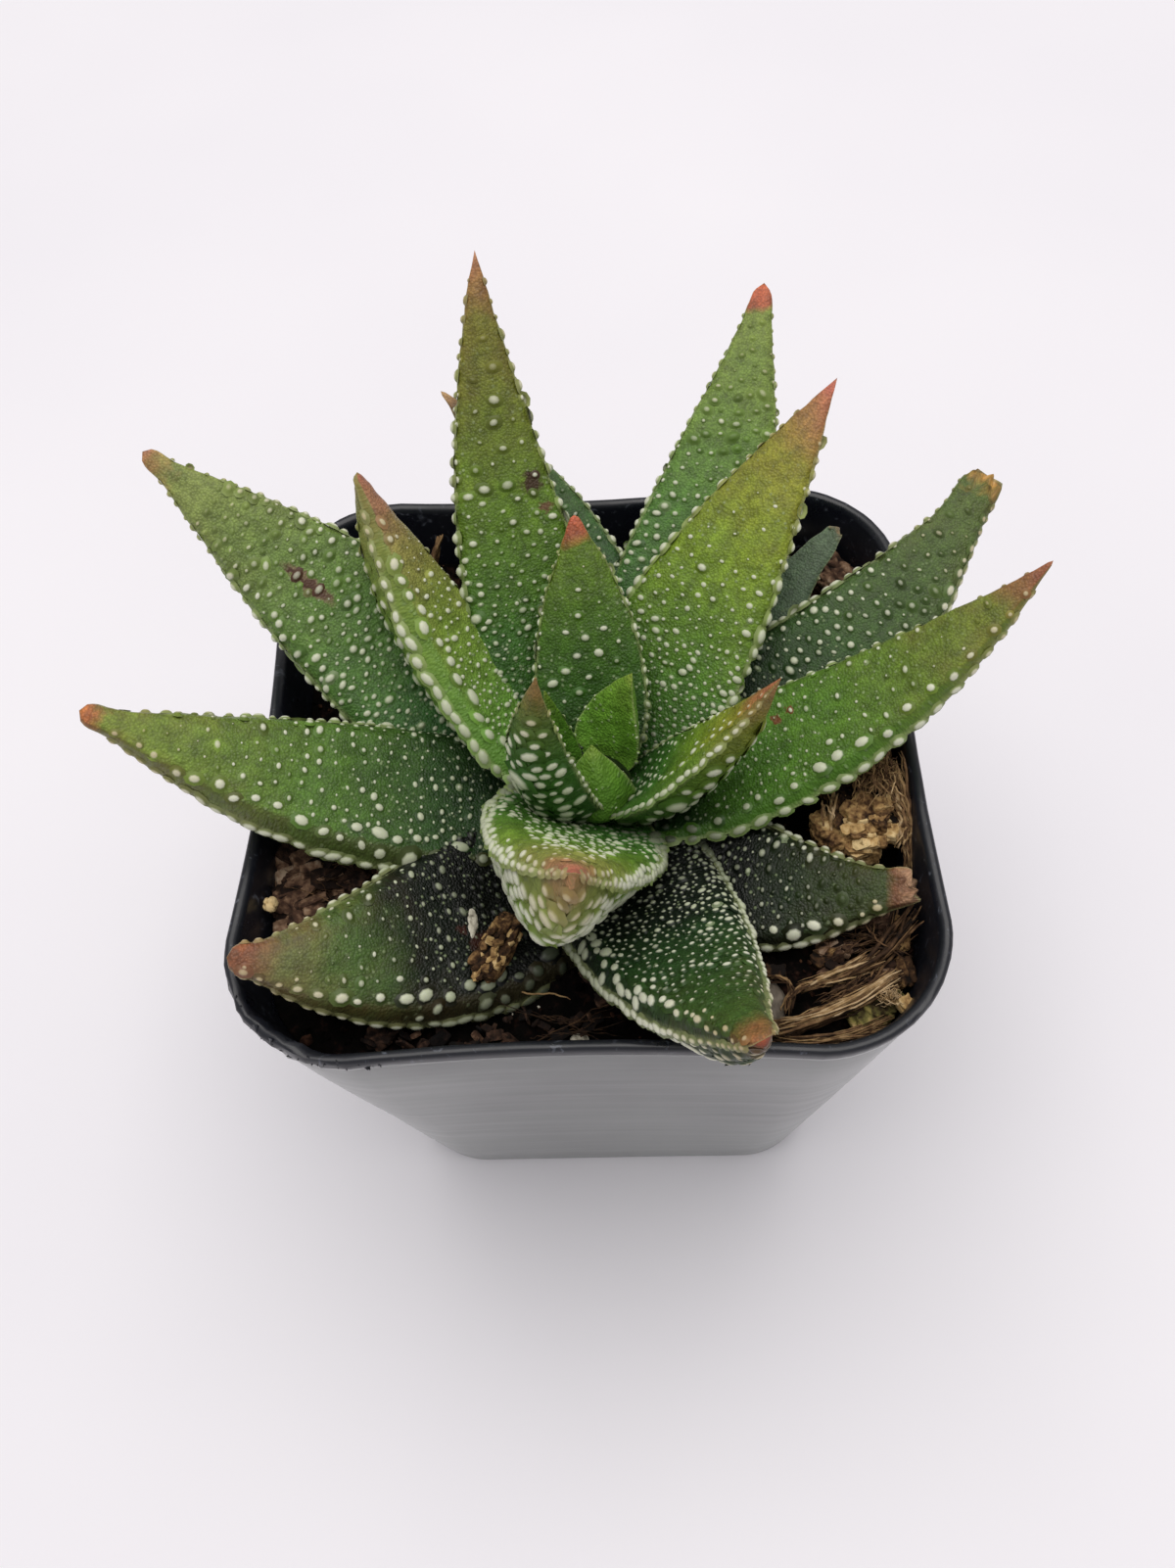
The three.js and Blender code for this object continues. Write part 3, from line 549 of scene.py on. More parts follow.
def template_of(thing):
    """The vertices and faces of a finished template, which is then removed."""
    points = coordinates(thing)
    faces = [tuple(face.vertices) for face in thing.data.polygons]
    bpy.data.objects.remove(thing)
    return points, faces


def mesh_of_copies(name, template, copies, tones=()):
    """One object from placed copies of a template: copies is a list of vertex arrays, in mm."""
    points, faces = template
    count = len(points)
    all_faces = [
        tuple(corner + i * count for corner in face) for i in range(len(copies)) for face in faces
    ]
    thing = bpy.data.objects.new(name, bpy.data.meshes.new(name))
    thing.data.from_pydata((np.concatenate(copies) * MM).tolist(), [], all_faces)
    bpy.context.scene.collection.objects.link(thing)
    if tones:
        set_attribute(thing, "tone", np.repeat(tones, count))
    return thing


def select_only(things):
    bpy.ops.object.select_all(action="DESELECT")
    for thing in things:
        thing.select_set(True)
    bpy.context.view_layer.objects.active = things[0]


def shade_smooth(thing, angle=180):
    select_only([thing])
    if angle == 180:
        bpy.ops.object.shade_smooth()
    else:
        bpy.ops.object.shade_smooth_by_angle(angle=math.radians(angle))
    thing.select_set(False)


def join(things):
    select_only(things)
    bpy.ops.object.join()
    things[0].select_set(False)
    return things[0]


def extrude_to(thing, place, *wanted):
    """Extrudes what is selected in edit mode, and puts the new vertices where place says."""
    bpy.ops.mesh.extrude_region_move()
    bpy.ops.object.mode_set(mode="OBJECT")
    chosen = np.array([vertex.index for vertex in thing.data.vertices if vertex.select])
    points = coordinates(thing)
    points[chosen] = place(points[chosen], *wanted)
    set_coordinates(thing, points)
    bpy.ops.object.mode_set(mode="EDIT")


def end_edit():
    """Turns every face outwards and leaves edit mode."""
    bpy.ops.mesh.select_all(action="SELECT")
    bpy.ops.mesh.normals_make_consistent(inside=False)
    bpy.ops.object.mode_set(mode="OBJECT")


def finish_piece(thing, replaces=None, material=None):
    """Puts a finished piece on the frame."""
    if material:
        thing.data.materials.clear()
        thing.data.materials.append(material)
    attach(thing, "root")
    if replaces:
        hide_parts(replaces)


def smooth_step(low, high, value):
    share = np.clip((np.asarray(value) - low) / (high - low), 0, 1)
    return share * share * (3 - 2 * share)


def unit(vectors):
    return vectors / np.maximum(np.linalg.norm(vectors, axis=-1, keepdims=True), 1e-9)


def turn_plane(points, first, second, angle):
    """Turns points, in place, in the plane of two axes."""
    cos, sin = math.cos(angle), math.sin(angle)
    a, b = points[:, first].copy(), points[:, second].copy()
    points[:, first], points[:, second] = a * cos - b * sin, a * sin + b * cos


def noise_at(points, size, shift):
    """Smooth noise at each point, with swells of the size in mm."""
    return np.array([noise.noise(Vector(p) / size + Vector(shift)) for p in points])


# ---------------------------------------------------------------- leaves


class Leaf:
    """A leaf's middle line and section, as in the solid model."""

    def __init__(self, number, form):
        self.form = form
        self.turned_in = TEETH_TURNED_IN.get(number, (0.05, 0.05))
        self.taper_power = FULL_TAPERS.get(number, TAPER_POWER)
        self.thin_power, self.keel_more = DEEP_TIPS.get(number, (THIN_POWER, 0.0))
        self.u = np.linspace(0, 1, LINE_STEPS + 1)
        facing = math.radians(form["facing"])
        around = facing + math.radians(form["turn"]) * self.u
        self.ahead = self.heading(self.u)
        middle = self.heading((self.u[:-1] + self.u[1:]) / 2) * form["long"] / LINE_STEPS
        clasp = CLASP_RADIUS * math.cos(facing), CLASP_RADIUS * math.sin(facing)
        start = (STEM_X + clasp[0], STEM_Y + clasp[1], form["high"])
        self.line = np.concatenate([[start], start + np.cumsum(middle, 0)])
        side = np.stack([-np.sin(around), np.cos(around), 0 * around], 1)
        roll = math.radians(form["roll"]) * (ROLL_AT_BASE + (1 - ROLL_AT_BASE) * self.u)
        cos, sin = np.cos(roll)[:, None], np.sin(roll)[:, None]
        dot = (side * self.ahead).sum(1)[:, None]
        self.side = side * cos + np.cross(self.ahead, side) * sin + self.ahead * dot * (1 - cos)
        self.up = np.cross(self.ahead, self.side)

    def heading(self, u):
        rise = np.radians(self.form["rise"] + self.form["lift"] * u)
        around = math.radians(self.form["facing"]) + math.radians(self.form["turn"]) * u
        level = np.cos(rise)
        return np.stack([level * np.cos(around), level * np.sin(around), np.sin(rise)], 1)

    def at(self, u, rows):
        return np.stack([np.interp(u, self.u, rows[:, axis]) for axis in range(3)], 1)

    def cap(self, u):
        """The rounding of a blunt tip, as a share of the width."""
        begin = self.form["cap_from"]
        share = np.clip((u - begin) / (1 - begin), 0, 1)
        return np.sqrt(1 - share**2) * self.form["blunt"] * (u > begin - 0.15)

    def width_share(self, u):
        young = BASE_WIDTH + (1 - BASE_WIDTH) * np.sin(np.clip(u / WIDEST_AT, 0, 1) * np.pi / 2)
        beyond = np.clip((u - WIDEST_AT) / (1 - WIDEST_AT), 0, 1)
        return np.where(u < WIDEST_AT, young, 1 - beyond**self.taper_power)

    def thick_share(self, u):
        swell = np.sin(np.clip(u / THICKEST_AT, 0, 1) * np.pi / 2)
        return (BASE_THICKNESS + (1 - BASE_THICKNESS) * swell) * (1 - u**self.thin_power)

    def half_width(self, u):
        return self.form["wide"] / 2 * (self.width_share(u) ** 5 + self.cap(u) ** 5) ** 0.2

    def surface(self, u, angle, proud=0.0):
        """Points of the surface, raised by proud mm."""
        wide, shoulder = self.form["wide"], self.form["shoulder"]
        half = self.half_width(u)
        depth = wide * self.form["thick"] * np.maximum(self.thick_share(u), self.cap(u))
        across, around = np.cos(angle), np.sin(angle)
        dish = DISH * wide * self.width_share(u) * (1 - u) * across**2
        crown = CROWN * u * depth * np.maximum(around, 0)
        grown = smooth_step(0.04, 0.2, u)
        drop = shoulder * depth * smooth_step(0.76, 1.02, np.abs(across)) ** 1.3 * grown
        sharp = KEEL_POWER + KEEL_SHARPENS * u + self.keel_more
        keel = np.maximum(depth - drop, 0) * np.maximum(-around, 0) ** sharp
        below = shoulder * depth * grown * (1 - np.minimum(-around * 2, 1))
        drop = np.where(around < 0, below, drop)
        out = np.stack(
            [across / np.maximum(half, 1e-6), around / np.maximum(depth, half / 2 + 1e-6)]
        )
        out = out / np.maximum(np.linalg.norm(out, axis=0), 1e-9) * proud
        sideways = (half * across + out[0])[:, None] * self.at(u, self.side)
        upwards = (dish + crown - keel - drop + out[1])[:, None] * self.at(u, self.up)
        return self.at(u, self.line) + sideways + upwards

    def frame_at(self, u, angle):
        """Place, direction round the section, direction along the leaf and outward normal."""
        step_u, step_a = 0.004, 0.03
        around = unit(self.surface(u, angle + step_a) - self.surface(u, angle - step_a))
        along = self.surface(u + step_u, angle) - self.surface(u - step_u, angle)
        normal = unit(np.cross(around, along))
        return self.surface(u, angle), around, np.cross(normal, around), normal

    def under(self, angle):
        """Whether a point is on the underside, which begins just beyond the row of teeth."""
        below = np.sin(angle) < -0.02
        for margin, turned_in in zip((0.0, math.pi), self.turned_in):
            if turned_in > SCALES_FROM:
                apart = np.abs((angle - margin + math.pi) % (2 * math.pi) - math.pi)
                below |= apart < turned_in - 0.08
        return below.astype(float)

    def set_skin_attributes(self, thing, number, u, angle, crown, copies=1):
        """What the skin reads: the share along, how near the margin, the underside, how high on a
        tubercle, and mm across and along the blade, apart on each leaf and on its two faces."""
        across = np.cos(angle) * self.half_width(u)
        face = np.where(np.sin(angle) >= 0, 0.0, 40.0)
        blade = np.stack([across, u * self.form["long"], face + number * 7.3], 1)
        for name, values in (
            ("along", u), ("edge", np.abs(np.cos(angle))), ("under", self.under(angle)),
            ("blade_mm", blade),
        ):
            set_attribute(thing, name, np.repeat(values, copies, axis=0))
        set_attribute(thing, "crown", crown)


def scatter(leaf, u, angle, gaps, taken):
    """Keeps each candidate (u, angle) that is far enough from those already placed."""
    places = leaf.surface(u, angle)
    kept = []
    count = len(taken)
    points = np.concatenate([taken, places])
    for i, place in enumerate(places):
        if ((points[:count] - place) ** 2).sum(1).min() >= gaps[i] ** 2:
            points[count] = place
            count += 1
            kept.append(i)
    return u[kept], angle[kept], points[:count]


def tubercles(leaf, look, number):
    """Each tubercle's place on the leaf as share of the length and angle, its radius, how far it
    is drawn out across and along the blade, its height and how white it is."""
    random = np.random.RandomState(100 + number)
    long = leaf.form["long"]
    edge_gap, bare_from, edge_bare = look["edge_gap"], look["bare_from"], look["edge_bare"]
    rows = []

    def edge_radius(at, least, most):
        fade = float(1 - 0.4 * smooth_step(0.6, 0.95, at / long))
        return look["edge_size"] * fade * random.uniform(least, most)

    # Teeth: one row along each margin, some of them doubled, and scales beyond a turned-in row.
    for margin, inward, turned_in in zip((0.0, math.pi), (1, -1), leaf.turned_in):
        far_in = turned_in > SCALES_FROM
        spread, larger, tall, apart = (0.15, 1.2, 0.72, 1.25) if far_in else (0.08, 1, 1.05, 1)
        at = 0.07 * long + edge_gap * random.uniform(0.2, 0.8)
        while at < edge_bare * long:
            radius = edge_radius(at, 0.65, 1.2) * larger
            angle = margin + inward * (turned_in + random.uniform(-spread, spread))
            rows.append((at / long, angle, radius, 1.0, random.uniform(1.0, 1.6), tall, 1.0))
            if random.uniform() < 0.2:
                nudge = at + random.uniform(-0.3, 0.3)
                angle += inward * random.uniform(0.25, 0.4)
                rows.append((nudge / long, angle, radius * 0.6, 1.0, 1.2, 0.9, 1.0))
            at += edge_gap * random.uniform(0.75, 1.3) * apart
        at = 0.1 * long
        while far_in and at < edge_bare * long:
            radius = edge_radius(at, 0.85, 1.15)
            angle = margin + inward * turned_in * random.uniform(0.15, 0.35)
            rows.append((at / long, angle, radius, 1.0, random.uniform(1.4, 2.0), 0.8, 0.95))
            at += edge_gap * random.uniform(0.85, 1.25)
    edge = np.array(rows)
    taken = leaf.surface(edge[:, 0], edge[:, 1])

    # Upper face: small ones low down, fewer towards the tip, larger near the margins.
    count = UPPER_TRIES
    u = random.uniform(0.05, bare_from, count)
    pitch = 1.15 / long
    snapped = np.round(u / pitch) * pitch + random.normal(0, 0.22, count) * pitch
    u = np.clip(np.where(random.uniform(size=count) < 0.5, snapped, u), 0.04, bare_from)
    angle = np.arccos(random.uniform(-0.97, 0.97, count))
    free = (angle > leaf.turned_in[0] + 0.1) & (angle < math.pi - leaf.turned_in[1] - 0.1)
    for low, high, smooth_from in SMOOTH_BANDS.get(number, []):
        free &= (np.cos(angle) < low) | (np.cos(angle) > high) | (u < smooth_from)
    u, angle = u[free], angle[free]
    gaps = look["gap_low"] + (look["gap_high"] - look["gap_low"]) * smooth_step(0.25, 0.75, u)
    u, angle, taken = scatter(leaf, u, angle, gaps, taken)
    count = len(u)
    near_edge = np.abs(np.cos(angle))
    radius = look["size_low"] + (look["size_high"] - look["size_low"]) * smooth_step(0.25, 0.8, u)
    radius = radius * np.exp(random.normal(-0.05, 0.34, count))
    radius = radius * (1 + 0.4 * smooth_step(0.62, 0.92, near_edge))
    radius = radius * (1 - 0.35 * smooth_step(bare_from - 0.2, bare_from, u))
    radius = np.minimum(radius, 1.45 * look["size_high"])
    across = random.uniform(1.0, 1.6, count)
    white = look["pearl"] * random.normal(1.0, 0.15, count)
    white = np.clip(white + 0.2 * smooth_step(0.5, 0.9, near_edge), 0.3, 1.1)
    rows += [(a, b, c, d, 1.0, 0.85, e) for a, b, c, d, e in zip(u, angle, radius, across, white)]

    # Below: large oblong ones in rows across the keel.
    count = UNDER_TRIES
    u = random.uniform(0.06, edge_bare, count)
    pitch = look["under_gap"] * 0.98 / long
    u = np.round(u / pitch) * pitch + random.normal(0, 0.10, count) * pitch
    u = np.clip(u, 0.05, edge_bare)
    angle = math.pi + np.arccos(random.uniform(-0.985, 0.985, count))
    band = random.uniform(math.pi - leaf.turned_in[1], 2 * math.pi + leaf.turned_in[0], count)
    angle = np.where(random.uniform(size=count) < 0.35, band, angle)
    gaps = look["under_gap"] * (0.92 + 0.25 * smooth_step(0.6, 0.95, u))
    u, angle, _ = scatter(leaf, u, angle, gaps, taken)
    count = len(u)
    radius = look["under_size"] * np.exp(random.normal(0, 0.2, count))
    radius = radius * (1 - 0.3 * smooth_step(0.7, 0.97, u))
    across = random.uniform(*((1.0, 1.3) if number == 6 else (1.1, 1.6)), count)
    white = np.clip(random.normal(0.97, 0.08, count), 0.7, 1.1)
    rows += [(a, b, c, d, 1.0, 0.7, e) for a, b, c, d, e in zip(u, angle, radius, across, white)]
    return np.array(rows)


def tubercle_template():
    """A dome with a flared foot, 1 mm in radius: the top of a ball, its rings drawn in or out."""
    bpy.ops.mesh.primitive_uv_sphere_add(segments=8, ring_count=6, radius=1, location=(0, 0, 0))
    dome = new_primitive("tubercle")
    bpy.ops.object.mode_set(mode="EDIT")
    bpy.ops.mesh.select_all(action="SELECT")
    bpy.ops.mesh.bisect(plane_co=(0, 0, -0.2), plane_no=(0, 0, 1), clear_inner=True)
    bpy.ops.object.mode_set(mode="OBJECT")
    points = coordinates(dome)
    for low, high, reach, height in (
        (-0.3, -0.1, 1.7, -0.15),
        (-0.1, 0.1, 1.2, 0.1),
        (0.4, 0.6, 0.95, 0.52),
        (0.8, 0.9, 0.56, 0.88),
    ):
        ring = (points[:, 2] > low) & (points[:, 2] < high)
        points[ring, :2] *= (reach / np.hypot(points[ring, 0], points[ring, 1]))[:, None]
        points[ring, 2] = height
    set_coordinates(dome, points)
    return template_of(dome)


def leaf_piece(number, dome):
    """One leaf with its tubercles: the blade is a ball drawn out along the leaf's middle line."""
    form, look, colours = (
        dict(zip(fields, table[number - 1]))
        for fields, table in (
            (FORM_FIELDS, LEAF_FORMS),
            (TUBERCLE_FIELDS, LEAF_TUBERCLES),
            (COLOUR_FIELDS, LEAF_COLOURS),
        )
    )
    leaf = Leaf(number, form)
    node_name = f"leaf_{number:02d}" if number <= LEAF_COUNT else None
    name = f"{node_name or 'heart_bud'}_blade"
    bpy.ops.mesh.primitive_uv_sphere_add(
        segments=LEAF_SEGMENTS, ring_count=LEAF_RINGS, radius=1, location=(0, 0, 0)
    )
    blade = new_primitive(name)
    ball = coordinates(blade)
    u = np.arcsin(np.clip(ball[:, 2], -1, 1)) / math.pi + 0.5
    angle = np.arctan2(ball[:, 1], ball[:, 0])
    points = leaf.surface(u, angle)
    proud = 0.16 * noise_at(points, 2.6, (number * 9.1, 0, 0))
    proud += 0.07 * noise_at(points, 0.9, (0, number * 5.7, 0))
    proud *= np.clip(np.minimum(u / 0.06, (1 - u) / 0.05), 0, 1)
    points = leaf.surface(u, angle, proud)
    if number in DRIED_TIPS:
        ragged = smooth_step(0.93, 0.98, u) * DRIED_TIPS[number]
        torn = noise_at(points, 0.8, (number, 3.0, 9.0)) * ragged * 2.2
        crumpled = noise_at(points, 1.3, (5.0, number, 1.0)) * ragged
        points += leaf.at(u, leaf.ahead) * torn[:, None]
        points += leaf.at(u, leaf.up) * crumpled[:, None]
    set_coordinates(blade, points * MM)
    leaf.set_skin_attributes(blade, number, u, angle, np.zeros(len(u)))

    rows = tubercles(leaf, look, number)
    place, around, onward, normal = leaf.frame_at(rows[:, 0], rows[:, 1])
    domes = dome[0]
    copies = []
    random = np.random.RandomState(200 + number)
    for i, (_, _, radius, wide, deep, tall, _) in enumerate(rows):
        askew = random.normal(0, 0.25)
        cos, sin = math.cos(askew), math.sin(askew)
        local = domes * radius * np.array([wide, deep, tall])
        sideways = local[:, :1] * (around[i] * cos + onward[i] * sin)
        lengthwise = local[:, 1:2] * (onward[i] * cos - around[i] * sin)
        copies.append(place[i] + sideways + lengthwise + local[:, 2:] * normal[i])
    relief = mesh_of_copies(name + "_tubercles", dome, copies)
    crown = (np.clip(domes[:, 2], 0, 1)[None, :] * rows[:, 6:]).ravel()
    leaf.set_skin_attributes(relief, number, rows[:, 0], rows[:, 1], crown, len(domes))
    piece = join([blade, relief])
    shade_smooth(piece)
    scars = [
        (across * float(leaf.half_width(np.array([share]))[0]), share * form["long"], *rest)
        for share, across, *rest in SCARS.get(number, [])
    ]
    finish_piece(piece, node_name, leaf_skin(number, colours, scars))


# ---------------------------------------------------------------- pot


def pot_loop(z, inset, corner_steps=16, side_steps=13):
    """The pot's outline at one height, as in the solid model, counterclockwise from +X."""
    share = z / POT_HEIGHT
    half = FOOT_HALF + (RIM_HALF - FOOT_HALF) * share - inset
    radius = FOOT_RADIUS + (RIM_RADIUS - FOOT_RADIUS) * share - inset
    flat = half - radius
    points = []
    for quarter in range(4):
        turn = quarter * math.pi / 2
        out = np.array([math.cos(turn), math.sin(turn)])
        onward = np.array([-out[1], out[0]])
        for step in range(side_steps):
            along = 2 * (step + 1) / (side_steps + 1) - 1
            reach = half - RIM_BOW * share * (1 - along**2)
            points.append(out * reach + onward * flat * along)
        for step in range(corner_steps + 1):
            angle = turn + step / corner_steps * math.pi / 2
            spoke = np.array([math.cos(angle), math.sin(angle)]) * radius
            points.append((out + onward) * flat + spoke)
    return np.array([(x, y, z) for x, y in points])


def matched(points, loop):
    """The loop's points in the order in which the given points lie round the pot."""
    order = [np.argsort(np.arctan2(p[:, 1], p[:, 0]), kind="stable") for p in (points, loop)]
    placed = np.empty_like(points)
    placed[order[0]] = loop[order[1]]
    return placed


def pot_shell():
    """The pot: its floor drawn up ring by ring, over the rim and down the inside."""
    loops = [pot_loop(z, inset) for z, inset in POT_PROFILE]
    bpy.ops.mesh.primitive_circle_add(vertices=len(loops[0]), radius=20, fill_type="NGON")
    shell = new_primitive("pot_shell")
    set_coordinates(shell, matched(coordinates(shell), loops[0]))
    bpy.ops.object.mode_set(mode="EDIT")
    bpy.ops.mesh.select_mode(type="FACE")
    bpy.ops.mesh.select_all(action="SELECT")
    for loop in loops[1:]:
        extrude_to(shell, matched, loop)
    end_edit()

    # Sculpting: walls are never quite flat, and the rim is ragged at the front left corner.
    points = coordinates(shell)
    for i, (x, y, z) in enumerate(points):
        wave = 0.16 * noise.noise(Vector((x, y, z)) / 17) * min(z / 8, 1)
        torn = math.exp(-(((x + 25) / 7) ** 2 + ((y + 27) / 5.5) ** 2)) * (z > 51.5)
        jag = noise.noise(Vector((x * 1.3, y * 1.3, z * 0.9))) * 0.6 * torn
        jag += noise.noise(Vector((x * 3.1, y * 3.1, z * 2.2))) * 0.4 * torn
        nick = 0.05 * noise.noise(Vector((x, y, z)) / 0.9) * (z > 54)
        points[i] += np.array(Vector((x, y, 0)).normalized() * (wave + jag + nick))
        points[i][2] += (0.5 * noise.noise(Vector((x * 0.9, y * 0.9, 3))) * torn) + nick
    set_coordinates(shell, points * MM)
    for x, y in ((1, 1), (-1, 1), (-1, -1), (1, -1)):
        bpy.ops.object.select_all(action="DESELECT")
        bpy.ops.mesh.primitive_cylinder_add(
            vertices=32,
            radius=DRAIN_RADIUS * MM,
            depth=FLOOR * 4 * MM,
            location=(x * DRAIN_OFFSET * MM, y * DRAIN_OFFSET * MM, 0),
        )
        drill = new_primitive("drain_drill")
        cut = shell.modifiers.new("drain", "BOOLEAN")
        cut.operation = "DIFFERENCE"
        cut.object = drill
        bpy.context.view_layer.objects.active = shell
        bpy.ops.object.modifier_apply(modifier="drain")
        bpy.data.objects.remove(drill)
    shade_smooth(shell, 40)
    shell.data.materials.clear()
    for material in (pot_outside_plastic(), pot_rim_plastic()):
        shell.data.materials.append(material)
    for face in shell.data.polygons:
        outward = face.center.x * face.normal.x + face.center.y * face.normal.y
        face.material_index = 0 if face.center.z < RIM_GLOSS_FROM * MM and outward > 0 else 1
    finish_piece(shell, "pot")


def rim_burrs():
    """Torn slivers of plastic left on the rim at the front left corner."""
    random = np.random.RandomState(71)
    bpy.ops.mesh.primitive_cone_add(vertices=5, radius1=1, depth=1, location=(0, 0, 0.5))
    template = template_of(new_primitive("burr"))
    points = template[0]
    loop = pot_loop(54.6, 0.0, 60, 60)
    near = loop[(loop[:, 0] < -17) & (loop[:, 1] < -24)]
    copies = []
    for _ in range(BURR_COUNT):
        foot = near[random.randint(len(near))]
        out = unit(foot * (1, 1, 0))
        level = np.array([-out[1], out[0], 0.0])
        lean = level * random.uniform(-0.9, 0.9) + out * random.uniform(0.2, 1.0)
        lean = unit(lean + (0, 0, random.uniform(-0.8, 0.7)))
        flat = unit(np.cross(lean, level))
        size = random.uniform(0.35, 0.9)
        low = foot - out * 0.25 + (0, 0, random.uniform(-1.2, 0.35))
        broad = points[:, :1] * np.cross(flat, lean) * size * 0.45
        copies.append(low + broad + points[:, 1:2] * flat * 0.1 + points[:, 2:] * lean * size)
    burrs = mesh_of_copies("rim_burrs", template, copies)
    finish_piece(burrs, material=bpy.data.materials["moulded_polypropylene_rim"])


# ---------------------------------------------------------------- soil


def wall_reach(z, inset):
    """The pot's reach from its axis as a function of the angle."""
    loop = pot_loop(z, inset, 40, 40)
    angle = np.arctan2(loop[:, 1], loop[:, 0])
    order = np.argsort(angle)
    reach = np.hypot(loop[:, 0], loop[:, 1])
    return lambda a: np.interp(a, angle[order], reach[order], period=2 * math.pi)


SOIL_REACH = wall_reach(SOIL_LEVEL, WALL + 0.05)


def soil_height(x, y):
    """Height of the soil's surface in mm: a low mound, hollows and crumbs."""
    share = math.hypot(x, y) / float(SOIL_REACH(math.atan2(y, x)))
    broad = noise.noise(Vector((x, y, 0)) / 7.0)
    lumps = noise.noise(Vector((x, y, 5)) / 2.4)
    near = noise.voronoi(Vector((x, y, 9)) / 1.7)[0][0]
    crumb = max(0.0, 0.6 - near) * (0.6 + 0.6 * noise.noise(Vector((x, y, 2)) / 3.0))
    fine = noise.noise(Vector((x, y, 1)) / 0.55)
    mound = SOIL_MOUND * (1 - min(share, 1) ** 2)
    return SOIL_LEVEL + mound + 0.5 * broad + 0.45 * lumps + 1.1 * crumb + 0.16 * fine


def wall_ring(points, level, inset):
    """The given points moved to the pot's wall at a level, each at its own angle."""
    turn = np.arctan2(points[:, 1], points[:, 0])
    out = wall_reach(level, inset)(turn)
    return np.stack([out * np.cos(turn), out * np.sin(turn), 0 * turn + level], 1)


def soil_bed():
    """Damp potting mix: a fine grid fitted to the pot's wall, with its sides drawn down."""
    bpy.ops.mesh.primitive_grid_add(x_subdivisions=SOIL_CUTS, y_subdivisions=SOIL_CUTS, size=2)
    bed = new_primitive("soil_bed")
    points = coordinates(bed)
    square = np.abs(points[:, :2]).max(1)
    angle = np.arctan2(points[:, 1], points[:, 0])
    reach = SOIL_REACH(angle) * square
    x, y = reach * np.cos(angle), reach * np.sin(angle)
    z = np.array([soil_height(a, b) for a, b in zip(x, y)])
    z[square > 0.9999] = SOIL_LEVEL
    set_coordinates(bed, np.stack([x, y, z], 1))
    bpy.ops.object.mode_set(mode="EDIT")
    bpy.ops.mesh.select_mode(type="EDGE")
    bpy.ops.mesh.select_all(action="DESELECT")
    bpy.ops.mesh.select_non_manifold()
    for level, inset in ((40.0, WALL + 0.05), (20.0, WALL + 0.05), (1.9, WALL + 0.35)):
        extrude_to(bed, wall_ring, level, inset)
    bpy.ops.mesh.edge_face_add()
    end_edit()
    points = coordinates(bed)
    tone = 0.12 + 0.2 * noise_at(points, 2.2, (0, 0, 0))
    for x, y, reach in BROWN_SPOTS:
        tone += 0.16 * np.exp(-((points[:, :2] - (x, y)) ** 2).sum(1) / reach**2)
    set_coordinates(bed, points * MM)
    set_attribute(bed, "tone", tone)
    shade_smooth(bed)
    finish_piece(bed, "soil", DAMP_PEAT)


def random_turn(random):
    """A rotation matrix drawn evenly from all turns."""
    spin = random.normal(size=4)
    w, x, y, z = spin / np.linalg.norm(spin)
    return np.array([
        [1 - 2 * (y * y + z * z), 2 * (x * y - z * w), 2 * (x * z + y * w)],
        [2 * (x * y + z * w), 1 - 2 * (x * x + z * z), 2 * (y * z - x * w)],
        [2 * (x * z - y * w), 2 * (y * z + x * w), 1 - 2 * (x * x + y * y)],
    ])


def soil_crumbs():
    """Loose peat crumbs and bark chips over the whole surface: angular balls of twenty faces."""
    bpy.ops.mesh.primitive_ico_sphere_add(subdivisions=1, radius=1)
    crumb = new_primitive("crumb")
    points = coordinates(crumb)
    uneven = np.random.RandomState(3).uniform(0.7, 1.15, (len(points), 1))
    set_coordinates(crumb, points * uneven)
    template = template_of(crumb)
    random = np.random.RandomState(8)
    copies, tones = [], []
    for _ in range(CRUMB_COUNT):
        turn = random.uniform(-math.pi, math.pi)
        share = math.sqrt(random.uniform(0, 0.985))
        reach = float(SOIL_REACH(turn)) * share
        x, y = reach * math.cos(turn), reach * math.sin(turn)
        brown = sum(math.exp(-((x - a) ** 2 + (y - b) ** 2) / c**2) for a, b, c in BROWN_SPOTS)
        brown = min(brown, 1)
        size = (0.24 + 0.1 * brown) * math.exp(random.normal(0, 0.5))
        tone = float(np.clip(random.normal(0.2 + 0.3 * brown, 0.15), 0.02, 0.9))
        if random.uniform() < 0.012:
            tone = 1.0
        size = min(size, 1.0) * (1.0 if tone < 1 else 0.5)
        shape = template[0] * np.array([1.0, random.uniform(0.45, 0.9), random.uniform(0.35, 0.8)])
        at = np.array([x, y, soil_height(x, y) + 0.35 * size])
        copies.append(at + shape * size @ random_turn(random).T)
        tones.append(tone)
    crumbs = mesh_of_copies("soil_crumbs", template, copies, tones)
    finish_piece(crumbs, material=DAMP_PEAT)


# ---------------------------------------------------------------- what lies on the soil


